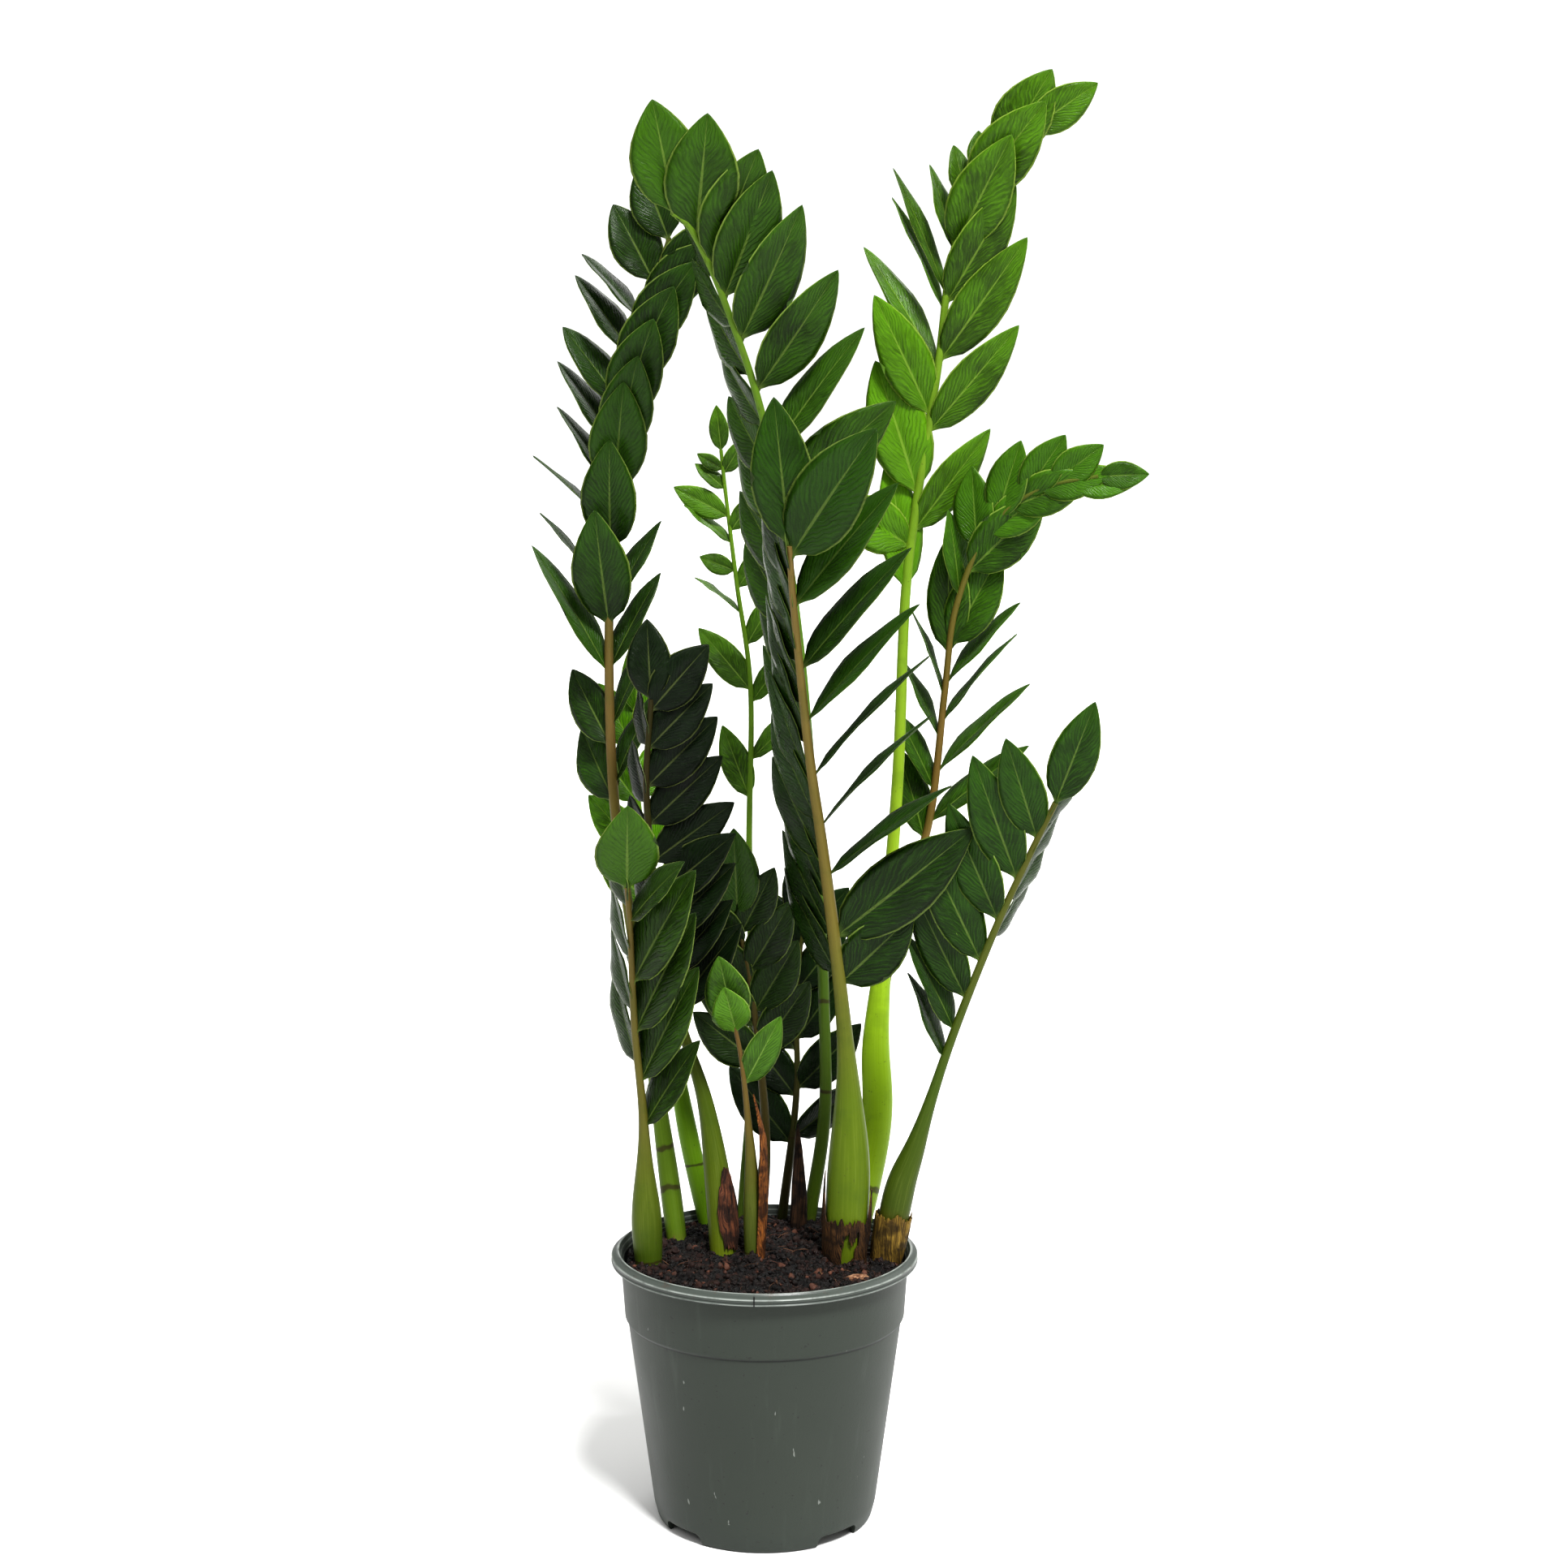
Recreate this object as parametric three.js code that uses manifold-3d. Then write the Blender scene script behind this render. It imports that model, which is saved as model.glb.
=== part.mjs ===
// A ZZ plant in a round plastic nursery pot, in millimetres, +Z up.
// The origin is the middle of the pot's underside, on the flat centre pad that the pot stands on.
import * as THREE from 'three';
import { mergeVertices } from 'three/addons/utils/BufferGeometryUtils.js';
import Module from 'manifold-3d';

const wasm = await Module();
wasm.setup();

// Driving dimensions
const LIP_RADIUS = 95;
const POT_HEIGHT = 170;
const LIP_HEIGHT = 7;
const LIP_TOP_RADIUS = 90.2; // the inner rim of the lip, its highest ring
const LIP_SLOPE = 3; // how far the lip falls from its inner rim to its outer edge
const BAND_TOP_RADIUS = 89;
const LEDGE_HEIGHT = 128;
const LEDGE_RADIUS = 86.6;
const LEDGE_STEP = 1.5;
const FOOT_RADIUS = 66.5;
const WALL = 1.8;
const FLOOR_UNDERSIDE = 9;
const FLOOR_THICKNESS = 2.4;
const CENTRE_PAD_RADIUS = 16;
const NOTCH_COUNT = 4;
const NOTCH_HEIGHT = 7.5;
const NOTCH_WIDTH = 31;
const FIRST_NOTCH_DEGREES = -48;
const DRAIN_HOLE_COUNT = 8;
const DRAIN_HOLE_RADIUS = 5;
const DRAIN_HOLE_CIRCLE = 42; // the radius of the circle they lie on
const POT_SEGMENTS = 32;

const ROOT_HEIGHT = 158; // where every frond's measured spine starts, just under the soil's surface
const SOIL_EDGE_HEIGHT = 162;
const SOIL_MOUND = 6;
const SOIL_CRUMB = 1.1;
const GAP = 0.35; // clearance between touching pieces
const SLIVER = 0.05; // joins leave corners nearer than this, which are closed up

const POT_PLASTIC = new THREE.MeshStandardMaterial({ color: 0x4b524d, roughness: 0.55, metalness: 0 });
const PEAT = new THREE.MeshStandardMaterial({ color: 0x2d1914, roughness: 1, metalness: 0 });
const BROWN_SHEATH = new THREE.MeshStandardMaterial({ color: 0x5c3a22, roughness: 0.85, metalness: 0 });
const BARK = new THREE.MeshStandardMaterial({ color: 0x7a5238, roughness: 0.9, metalness: 0 });
const TUBER_SKIN = new THREE.MeshStandardMaterial({ color: 0xb59a6a, roughness: 0.8, metalness: 0 });

const DEGREE = Math.PI / 180;
const model = new THREE.Group();

// Solids: every piece is a closed geometry, joined and cut as a solid, and shown as one named mesh.

function solidOf(geometry) {
  const bare = geometry.clone();
  bare.deleteAttribute('normal');
  bare.deleteAttribute('uv');
  const merged = mergeVertices(bare, 1e-4);
  const vertProperties = new Float32Array(merged.attributes.position.array);
  const triVerts = new Uint32Array(merged.index.array);
  return new wasm.Manifold(new wasm.Mesh({ numProp: 3, vertProperties, triVerts }));
}

function geometryOf(solid) {
  const mesh = solid.getMesh();
  const geometry = new THREE.BufferGeometry();
  geometry.setAttribute('position', new THREE.BufferAttribute(mesh.vertProperties, 3));
  geometry.setIndex(new THREE.BufferAttribute(mesh.triVerts, 1));
  geometry.computeVertexNormals();
  return geometry;
}

function addPiece(name, solid, material) {
  const mesh = new THREE.Mesh(geometryOf(solid.asOriginal().simplify(SLIVER)), material);
  mesh.name = name;
  model.add(mesh);
}

function closedGeometry(points, faces) {
  const geometry = new THREE.BufferGeometry();
  const places = points.flatMap((p) => p.toArray());
  geometry.setAttribute('position', new THREE.Float32BufferAttribute(places, 3));
  geometry.setIndex(faces.flat());
  return geometry;
}

// A lathe turned from the Y axis of its profile to the object's Z axis.
function turned(profile, segments) {
  const outline = profile.map(([radius, height]) => new THREE.Vector2(radius, height));
  return new THREE.LatheGeometry(outline, segments).rotateX(Math.PI / 2);
}

// A value that runs evenly through a list of values as f goes from 0 to 1.
function along(values, f) {
  const place = f * (values.length - 1);
  const first = Math.min(Math.floor(place), values.length - 2);
  return values[first] + (values[first + 1] - values[first]) * (place - first);
}

// The pot: one thin-walled moulding with a sloping lip, a straight band that ends in a ledge, a
// tapered wall, a floor with drain holes, and a foot ring that notches cut into feet.

function potRadius(height) {
  if (height > LEDGE_HEIGHT) {
    const rise = (height - LEDGE_HEIGHT) / (POT_HEIGHT - LIP_HEIGHT - LEDGE_HEIGHT);
    return LEDGE_RADIUS + (BAND_TOP_RADIUS - LEDGE_RADIUS) * rise;
  }
  const belowLedge = LEDGE_RADIUS - LEDGE_STEP;
  return FOOT_RADIUS + 1.5 + (belowLedge - FOOT_RADIUS - 1.5) * (height / LEDGE_HEIGHT);
}

function makePot() {
  const lipBottom = POT_HEIGHT - LIP_HEIGHT;
  const floorTop = FLOOR_UNDERSIDE + FLOOR_THICKNESS;
  const skirt = FOOT_RADIUS - 3;
  const profile = [
    [0, 0],
    [CENTRE_PAD_RADIUS, 0],
    [CENTRE_PAD_RADIUS + 1.5, FLOOR_UNDERSIDE],
    [skirt - 1, FLOOR_UNDERSIDE],
    [skirt, 0],
    [FOOT_RADIUS - 1, 0],
    [FOOT_RADIUS + 0.6, 1.6],
    [potRadius(10), 10],
    [potRadius(LEDGE_HEIGHT - 1.5), LEDGE_HEIGHT - 1.5],
    [LEDGE_RADIUS, LEDGE_HEIGHT + 0.5],
    [BAND_TOP_RADIUS, lipBottom],
    [LIP_RADIUS - 0.6, lipBottom],
    [LIP_RADIUS, lipBottom + 0.6],
    [LIP_RADIUS, POT_HEIGHT - LIP_SLOPE - 0.4],
    [LIP_RADIUS - 1, POT_HEIGHT - LIP_SLOPE + 0.4],
    [LIP_TOP_RADIUS + 0.8, POT_HEIGHT],
    [LIP_TOP_RADIUS, POT_HEIGHT],
    [BAND_TOP_RADIUS - 0.4, POT_HEIGHT - 4],
    [potRadius(lipBottom) - WALL, lipBottom],
    [LEDGE_RADIUS - WALL, LEDGE_HEIGHT + 0.5],
    [potRadius(LEDGE_HEIGHT - 2) - WALL, LEDGE_HEIGHT - 2],
    [potRadius(floorTop + 3) - WALL, floorTop + 3],
    [potRadius(floorTop) - WALL - 3, floorTop],
    [0, floorTop],
  ];
  let pot = solidOf(turned(profile, POT_SEGMENTS));
  for (let i = 0; i < NOTCH_COUNT; i += 1) {
    const notch = new THREE.BoxGeometry(NOTCH_WIDTH, 30, NOTCH_HEIGHT + 2);
    notch.translate(0, -FOOT_RADIUS, NOTCH_HEIGHT / 2 - 1);
    notch.rotateZ((FIRST_NOTCH_DEGREES + (i * 360) / NOTCH_COUNT) * DEGREE);
    pot = pot.subtract(solidOf(notch));
  }
  for (let i = 0; i < DRAIN_HOLE_COUNT; i += 1) {
    const drain = new THREE.CylinderGeometry(DRAIN_HOLE_RADIUS, DRAIN_HOLE_RADIUS, 20, 6);
    drain.rotateX(Math.PI / 2).translate(DRAIN_HOLE_CIRCLE, 0, FLOOR_UNDERSIDE);
    drain.rotateZ(((i + 0.5) * 2 * Math.PI) / DRAIN_HOLE_COUNT);
    pot = pot.subtract(solidOf(drain));
  }
  return pot;
}

// Fronds: each is one compound leaf, a petiole that swells at its foot and runs on as the rachis,
// with alternate leaflets and one at its tip. A frond is given by a spine of a few points, its two
// rachis radii, its swelling (extra radius, height of the widest place, length of the fall), and rows
// of leaflets, whose values run evenly along each row. Angles are in degrees: open is away from the
// rachis, lift is out of the frond's plane towards the viewer, roll is about the leaflet's own length.
// Bends turn single leaflets clear of a neighbouring frond, as [row, place, open, lift, roll].

const FRONDS = {
  front: {
    colour: 0x3c7323,
    seed: 1,
    tuber: 'right',
    spine: [
      [49, -10, 158], [52, -8, 240], [48, -18, 317], [36, -38, 417], [27, -56, 481], [18, -80, 565],
      [15, -92, 605],
    ],
    rachis: [5.5, 1.8],
    swell: [8.5, 52, 62],
    rows: [
      {
        side: 1, count: 8, at: [0.4, 0.465, 0.55, 0.62, 0.69, 0.765, 0.835, 0.92],
        long: [64, 112, 100, 104, 104, 100, 96, 88], wide: [36, 44, 24, 20, 20, 24, 29, 30],
        open: [47, 54, 50, 46, 44, 45, 42, 41], lift: [10, 10, 6, 0],
        roll: [0, -8, -84, -88, -84, -76, -60, -46],
      },
      {
        side: -1, count: 11, at: [0.41, 0.95], long: [84, 64], wide: [34, 32], open: [46, 36],
        lift: [-56, -66], roll: [0, 0],
      },
      {
        side: 1, count: 1, at: [0.985, 0.985], long: [88, 88], wide: [42, 42], open: [36, 36],
        lift: [20, 20], roll: [-14, -14],
      },
    ],
    tip: { long: 84, wide: 36, turn: -2, lift: -10 },
    bends: [],
  },
  arching_left: {
    colour: 0x3f7a26,
    seed: 2,
    tuber: 'back',
    spine: [
      [27, 73, 158], [38, 76, 230], [38, 74, 298], [34, 68, 381], [22, 52, 537], [2, 32, 667],
      [-23, 10, 746], [-42, -4, 787], [-53, -8, 797],
    ],
    rachis: [4.2, 1.8],
    swell: [0.5, 20, 60],
    rows: [
      {
        side: 1, count: 8, at: [0.63, 0.715, 0.76, 0.82, 0.868, 0.91, 0.942, 0.97],
        long: [84, 90, 98, 90, 86, 78, 74, 70], wide: [26, 35, 30, 35, 37, 38, 42, 44],
        open: [50, 58, 46, 51, 45, 44, 46, 33], lift: [4, 6, 6, 2],
        roll: [-70, 0, -50, 14, 18, 18, 12, 4],
      },
      {
        side: -1, count: 10, at: [0.5, 0.93], long: [64, 64, 54], wide: [30, 32, 30],
        open: [34, 36, 44], lift: [-42, -48, -76], roll: [0, 0],
      },
    ],
    tip: { long: 66, wide: 42, turn: 47, lift: 4 },
    bends: [],
  },
  tall_left: {
    colour: 0x2a5a22,
    seed: 3,
    tuber: 'left',
    spine: [
      [-55, 31, 158], [-63, 48, 213], [-74, 60, 288], [-92, 66, 407], [-98, 72, 483], [-98, 82, 586],
      [-91, 90, 678], [-78, 94, 739], [-60, 98, 792],
    ],
    rachis: [4.5, 1.8],
    swell: [2.5, 20, 70],
    rows: [
      {
        side: 1, count: 9, at: [0.617, 0.69, 0.748, 0.785, 0.818, 0.852, 0.89, 0.925, 0.965],
        long: [73, 68, 66, 60], wide: [37, 36, 34, 30], open: [25, 26, 28, 40], lift: [105, 78, 50, 20],
        roll: [100, 76, 46, 10],
      },
      {
        side: -1, count: 11, at: [0.445, 0.5, 0.57, 0.64, 0.71, 0.75, 0.79, 0.83, 0.88, 0.915, 0.955],
        long: [56, 62, 96, 72, 68, 66, 66, 66, 60, 56, 54],
        wide: [28, 28, 26, 22, 22, 25, 28, 30, 28, 26, 32],
        open: [32, 34, 30, 36, 42, 38, 38, 40, 48, 52, 45], lift: [-50, -40, 0, 0, 0, 0, 0, 0, 0, 0, 0],
        roll: [-30, -30, -54, -84, -82, -62, -56, -46, -50, -70, -20],
      },
      {
        side: 1, count: 4, at: [0.46, 0.63], long: [66, 70], wide: [22, 21], open: [25, 25],
        lift: [-10, -10], roll: [-66, -56],
      },
    ],
    tip: { long: 52, wide: 32, turn: -40, lift: 0 },
    bends: [],
  },
  low_left: {
    colour: 0x386e28,
    seed: 4,
    tuber: 'left',
    spine: [
      [-71, -15, 158], [-73, -12, 209], [-74, -15, 258], [-78, -26, 313], [-79, -46, 376],
      [-80, -58, 405],
    ],
    rachis: [3.2, 1.6],
    swell: [7, 25, 42],
    rows: [
      {
        side: 1, count: 5, at: [0.36, 0.475, 0.605, 0.74, 0.905], long: [66, 82, 86, 86, 58],
        wide: [28, 32, 36, 36, 26], open: [31, 30, 28, 27, 36], lift: [12, 12],
        roll: [-46, -38, -34, -30, -62],
      },
      {
        side: -1, count: 4, at: [0.52, 0.94], long: [62, 44], wide: [28, 26], open: [34, 36],
        lift: [-60, -60], roll: [0, 0],
      },
    ],
    tip: { long: 56, wide: 38, turn: 4, lift: 4 },
    bends: [],
  },
  dark_left: {
    colour: 0x1a3d1b,
    seed: 5,
    tuber: 'left',
    spine: [
      [-25, -10, 158], [-28, 2, 202], [-37, 14, 258], [-52, 18, 307], [-64, 16, 364], [-72, 12, 448],
      [-69, 14, 509],
    ],
    rachis: [3.8, 1.8],
    swell: [5.5, 30, 70],
    rows: [
      {
        side: 1, count: 9, at: [0.46, 0.98], long: [64, 66, 54], wide: [28, 30, 30], open: [50, 58, 36],
        lift: [4, 4, 4], roll: [-20, -10, 0],
      },
      {
        side: -1, count: 5, at: [0.52, 0.92], long: [50, 44], wide: [26, 24], open: [34, 34],
        lift: [-60, -60], roll: [0, 0],
      },
    ],
    tip: { long: 50, wide: 28, turn: -6, lift: 0 },
    bends: [[0, 1, 0, 15, 0], [0, 2, 0, 15, 0], [0, 3, 0, 15, 0]],
  },
  back_left: {
    colour: 0x6fae2a,
    seed: 6,
    tuber: 'left',
    facing: [0.5, -1, 0],
    spine: [
      [-36, 68, 158], [-51, 80, 224], [-60, 90, 275], [-73, 106, 358], [-84, 122, 436], [-86, 132, 489],
    ],
    rachis: [3.6, 1.6],
    swell: [3.2, 60, 60],
    rows: [
      {
        side: 1, count: 4, at: [0.6, 0.95], long: [60, 50], wide: [26, 24], open: [36, 30],
        lift: [10, 10], roll: [0, 0],
      },
      {
        side: -1, count: 4, at: [0.62, 0.93], long: [58, 50], wide: [26, 24], open: [34, 30],
        lift: [-30, -30], roll: [0, 0],
      },
    ],
    tip: { long: 54, wide: 24, turn: 6, lift: 0 },
    bends: [],
  },
  young: {
    colour: 0x6a9432,
    seed: 7,
    tuber: 'left',
    facing: [0, -1, 0.25],
    spine: [[-7, -15, 158], [-8, -7, 217], [-10, -4, 249], [-14, -7, 289], [-18, -11, 312]],
    rachis: [2.4, 1.3],
    swell: [3.6, 30, 45],
    rows: [
      {
        side: 1, count: 1, at: [0.75, 0.75], long: [50, 50], wide: [22, 22], open: [36, 36],
        lift: [0, 0], roll: [0, 0],
      },
      {
        side: -1, count: 1, at: [0.97, 0.97], long: [36, 36], wide: [25, 25], open: [16, 16],
        lift: [84, 84], roll: [80, 80],
      },
    ],
    tip: { long: 46, wide: 28, turn: -2, lift: 0 },
    bends: [],
  },
  dark_centre: {
    colour: 0x1d4a20,
    seed: 8,
    tuber: 'back',
    spine: [[-6, 60, 158], [0, 54, 215], [-2, 47, 264], [-9, 36, 327], [-17, 26, 372]],
    rachis: [3.4, 1.6],
    swell: [1.8, 15, 40],
    rows: [
      {
        side: 1, count: 4, at: [0.58, 0.95], long: [54, 50], wide: [28, 26], open: [42, 38],
        lift: [0, 0], roll: [0, 0],
      },
      {
        side: -1, count: 4, at: [0.54, 0.9], long: [54, 50], wide: [28, 26], open: [42, 30],
        lift: [10, 10], roll: [0, 0],
      },
    ],
    tip: { long: 60, wide: 30, turn: 8, lift: 4 },
    bends: [],
  },
  back_centre: {
    colour: 0x1c451e,
    seed: 9,
    tuber: 'back',
    facing: [-0.2, -1, 0],
    spine: [[10, 78, 158], [20, 90, 243], [20, 98, 303], [24, 104, 352]],
    rachis: [2.8, 1.4],
    swell: [0.6, 15, 40],
    rows: [
      {
        side: 1, count: 5, at: [0.3, 0.95], long: [60, 50], wide: [28, 26], open: [46, 34],
        lift: [10, 10], roll: [0, 0],
      },
      {
        side: -1, count: 5, at: [0.28, 0.9], long: [62, 50], wide: [28, 26], open: [46, 36],
        lift: [10, 10], roll: [0, 0],
      },
    ],
    tip: { long: 52, wide: 26, turn: -6, lift: 0 },
    bends: [[0, 0, 0, -25, 25], [0, 1, 0, -12, 20]],
  },
  tall_right: {
    colour: 0x4f9416,
    seed: 10,
    tuber: 'right',
    spine: [
      [56, 48, 158], [71, 58, 232], [71, 66, 288], [78, 76, 364], [85, 84, 457], [89, 90, 564],
      [96, 92, 627], [109, 92, 712], [117, 90, 779], [133, 86, 825], [163, 80, 856],
    ],
    rachis: [5.2, 1.8],
    swell: [5, 95, 75],
    rows: [
      {
        side: 1, count: 7, at: [0.632, 0.72, 0.782, 0.832, 0.878, 0.925, 0.965],
        long: [84, 91, 94, 88, 80, 78, 66], wide: [26, 30, 32, 34, 38, 40, 38],
        open: [27, 32, 29, 30, 25, 23, -12], lift: [6, 10, 16, 28, 56, 55, 0],
        roll: [10, 16, 24, 34, 52, 50, 0],
      },
      {
        side: -1, count: 4, at: [0.58, 0.62, 0.665, 0.735], long: [90, 58, 86, 84],
        wide: [32, 34, 40, 34], open: [13, 70, 27, 36], lift: [20, 16], roll: [0, 0],
      },
      {
        side: -1, count: 6, at: [0.777, 0.825, 0.84, 0.878, 0.918, 0.945],
        long: [96, 78, 86, 56, 40, 30], wide: [24, 12, 14, 20, 20, 18], open: [36, 27, 26, 28, 36, 40],
        lift: [-20, -20], roll: [-66, -78, -60, -66, -50, -20],
      },
    ],
    tip: { long: 52, wide: 26, turn: 10, lift: 0 },
    bends: [],
  },
  mid_right: {
    colour: 0x3d7d1e,
    seed: 11,
    tuber: 'right',
    spine: [
      [40, 68, 158], [67, 82, 218], [75, 92, 296], [88, 96, 365], [106, 96, 424], [115, 92, 508],
      [121, 84, 561], [140, 72, 610], [170, 60, 636], [206, 50, 644],
    ],
    rachis: [3.8, 1.4],
    swell: [0.8, 20, 60],
    rows: [
      {
        side: 1, count: 10, at: [0.5, 0.56, 0.62, 0.665, 0.71, 0.8, 0.85, 0.89, 0.93, 0.965],
        long: [80, 80, 76, 70, 72, 66, 56, 54, 48, 42], wide: [24, 22, 20, 20, 34, 34, 28, 27, 25, 22],
        open: [34, 34, 32, 30, 24, 26, 20, 18, 14, 12], lift: [0, 0, 10, 10],
        roll: [-70, -80, -84, -84, -6, 0, 0, 0, 0, 0],
      },
      {
        side: -1, count: 10, at: [0.48, 0.54, 0.6, 0.65, 0.7, 0.77, 0.83, 0.87, 0.91, 0.945],
        long: [60, 60, 60, 60, 76, 56, 52, 52, 46, 40], wide: [24, 22, 20, 20, 28, 24, 28, 27, 25, 23],
        open: [28, 28, 28, 24, 3, 20, 30, 26, 22, 20], lift: [0, -10, -20, 10],
        roll: [-60, -76, -84, -80, -10, -60, 0, 0, 0, 0],
      },
    ],
    tip: { long: 32, wide: 18, turn: 8, lift: 0 },
    bends: [[1, 0, 0, 0, 25], [1, 1, 0, 0, 25], [1, 2, 0, -15, 0]],
  },
  low_right: {
    colour: 0x2f6a22,
    seed: 12,
    tuber: 'right',
    spine: [
      [74, -6, 158], [83, -6, 207], [94, -8, 240], [114, -17, 306], [137, -31, 372], [156, -42, 419],
      [171, -52, 454],
    ],
    rachis: [3.6, 1.8],
    swell: [6.5, 40, 48],
    rows: [
      {
        side: 1, count: 4, at: [0.7, 0.95], long: [54, 46], wide: [26, 26], open: [40, 36],
        lift: [-66, -70], roll: [0, 0],
      },
      {
        side: -1, count: 7, at: [0.44, 0.5, 0.57, 0.65, 0.74, 0.83, 0.92],
        long: [60, 68, 78, 82, 82, 80, 68], wide: [22, 24, 27, 29, 30, 30, 29],
        open: [34, 38, 42, 42, 42, 42, 40], lift: [4, 4], roll: [-60, -50, -24, -10, 0, 0, 0],
      },
    ],
    tip: { long: 66, wide: 28, turn: -4, lift: 0 },
    bends: [[1, 2, 0, 0, 25]],
  },
  thin_back: {
    colour: 0x5fa32c,
    seed: 13,
    tuber: 'back',
    facing: [0, -1, 0.1],
    spine: [
      [-16, 77, 158], [-9, 106, 266], [-11, 128, 398], [-10, 138, 504], [-19, 140, 574],
      [-26, 138, 632], [-29, 136, 661],
    ],
    rachis: [3, 1.2],
    swell: [0.5, 15, 60],
    rows: [
      {
        side: 1, count: 6, at: [0.6, 0.97], long: [50, 26], wide: [18, 12], open: [40, 40],
        lift: [10, 10], roll: [-30, 20],
      },
      {
        side: -1, count: 8, at: [0.55, 0.69, 0.79, 0.845, 0.88, 0.915, 0.95, 0.975],
        long: [50, 54, 40, 26, 40, 40, 26, 20], wide: [20, 22, 16, 14, 14, 18, 12, 10],
        open: [20, 34, 40, 64, 40, 55, 44, 50], lift: [0, 0], roll: [0, -10, -76, 0, -66, -10, -30, 0],
      },
    ],
    tip: { long: 30, wide: 13, turn: 0, lift: 0 },
    bends: [],
  },
};

const SPINE_SAMPLES = 120;
const RING_SPACING = 31; // between the rings of a stem, along it
const STEM_SIDES = 6;
const FOOT_WAIST = 0.4; // how much a swelling narrows where it meets the soil
const FOOT_WAIST_RISE = 18;
const TO_VIEWER = [0, -1, 0];
const LEAF_STATIONS = [0.14, 0.46, 0.82];
const LEAF_HALF_THICKNESS = 0.9; // at the midrib; the blade thins to its margin
const LEAF_ARCH = 0.08; // how far the tip curls back, as a share of the length
const LEAF_FOLD = 0.16; // how far the margins rise above the midrib, as a share of the half width

// A repeatable draw between -1 and 1.
function draw(seed, index) {
  const wave = Math.sin(seed * 12.9898 + index * 78.233) * 43758.5453;
  return 2 * (wave - Math.floor(wave)) - 1;
}

// A frond's spine as a curve measured along its length.
function spineOf(frond) {
  const points = frond.spine.map((p) => new THREE.Vector3(...p));
  const curve = new THREE.CatmullRomCurve3(points, false, 'catmullrom', 0.5);
  const samples = curve.getPoints(SPINE_SAMPLES);
  const reach = [0];
  for (let i = 1; i < samples.length; i += 1) {
    reach.push(reach[i - 1] + samples[i].distanceTo(samples[i - 1]));
  }
  const length = reach[SPINE_SAMPLES];
  const at = (f) => {
    const wanted = Math.min(Math.max(f, 0), 1) * length;
    let i = 1;
    while (i < SPINE_SAMPLES && reach[i] < wanted) i += 1;
    const share = (wanted - reach[i - 1]) / (reach[i] - reach[i - 1]);
    return samples[i - 1].clone().lerp(samples[i], share);
  };
  const direction = (f) => at(f + 0.01).sub(at(f - 0.01)).normalize();
  return { length, at, direction };
}

function stemRadius(frond, height, length) {
  const [extra, widest, fall] = frond.swell;
  const plain = along(frond.rachis, Math.min(height / length, 1));
  const bulge = Math.exp(-((Math.max(0, height - widest) / fall) ** 2));
  const waist = 1 - FOOT_WAIST * Math.exp(-height / FOOT_WAIST_RISE);
  return plain + extra * bulge * waist;
}

// A closed tube through rings of { centre, radius, direction }, with flat ends.
function tube(rings, sides) {
  const points = [];
  const faces = [];
  for (const { centre, radius, direction } of rings) {
    const back = new THREE.Vector3(0, 1, 0);
    back.addScaledVector(direction, -back.dot(direction)).normalize();
    const left = new THREE.Vector3().crossVectors(direction, back);
    for (let j = 0; j < sides; j += 1) {
      const angle = (j * 2 * Math.PI) / sides;
      const point = centre.clone().addScaledVector(back, radius * Math.cos(angle));
      points.push(point.addScaledVector(left, radius * Math.sin(angle)));
    }
  }
  for (let i = 0; i < rings.length - 1; i += 1) {
    for (let j = 0; j < sides; j += 1) {
      const here = i * sides + j;
      const next = i * sides + ((j + 1) % sides);
      faces.push([here, next, next + sides], [here, next + sides, here + sides]);
    }
  }
  points.push(rings[0].centre, rings[rings.length - 1].centre);
  const top = (rings.length - 1) * sides;
  for (let j = 0; j < sides; j += 1) {
    faces.push([(j + 1) % sides, j, points.length - 2]);
    faces.push([top + j, top + ((j + 1) % sides), points.length - 1]);
  }
  return closedGeometry(points, faces);
}

// Underground, each stem leans in to its tuber and narrows: spread is how much is left of its root's
// distance from the tuber's middle.
const ROOT_STEPS = [
  { down: 46, spread: 0.56, narrow: 0.55 },
  { down: 40, spread: 0.62, narrow: 0.75 },
  { down: 20, spread: 0.86, narrow: 0.92 },
];

const TUBERS = {
  left: { centre: [-42, 16, 78], radii: [28, 30, 22] },
  right: { centre: [40, 16, 78], radii: [28, 30, 22] },
  back: { centre: [2, 58, 80], radii: [19, 16, 17] },
};

// The height of a tuber's skin over a point, taken a stem's radius nearer to the tuber's middle.
function tuberTop(tuber, x, y, radius) {
  const [cx, cy, cz] = tuber.centre;
  const away = Math.hypot(x - cx, y - cy);
  const nearer = Math.max(0, away - radius) / Math.max(away, 1e-6);
  const alongX = (nearer * (x - cx)) / tuber.radii[0];
  const alongY = (nearer * (y - cy)) / tuber.radii[1];
  return cz + tuber.radii[2] * Math.sqrt(Math.max(1 - alongX ** 2 - alongY ** 2, 0));
}

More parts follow.
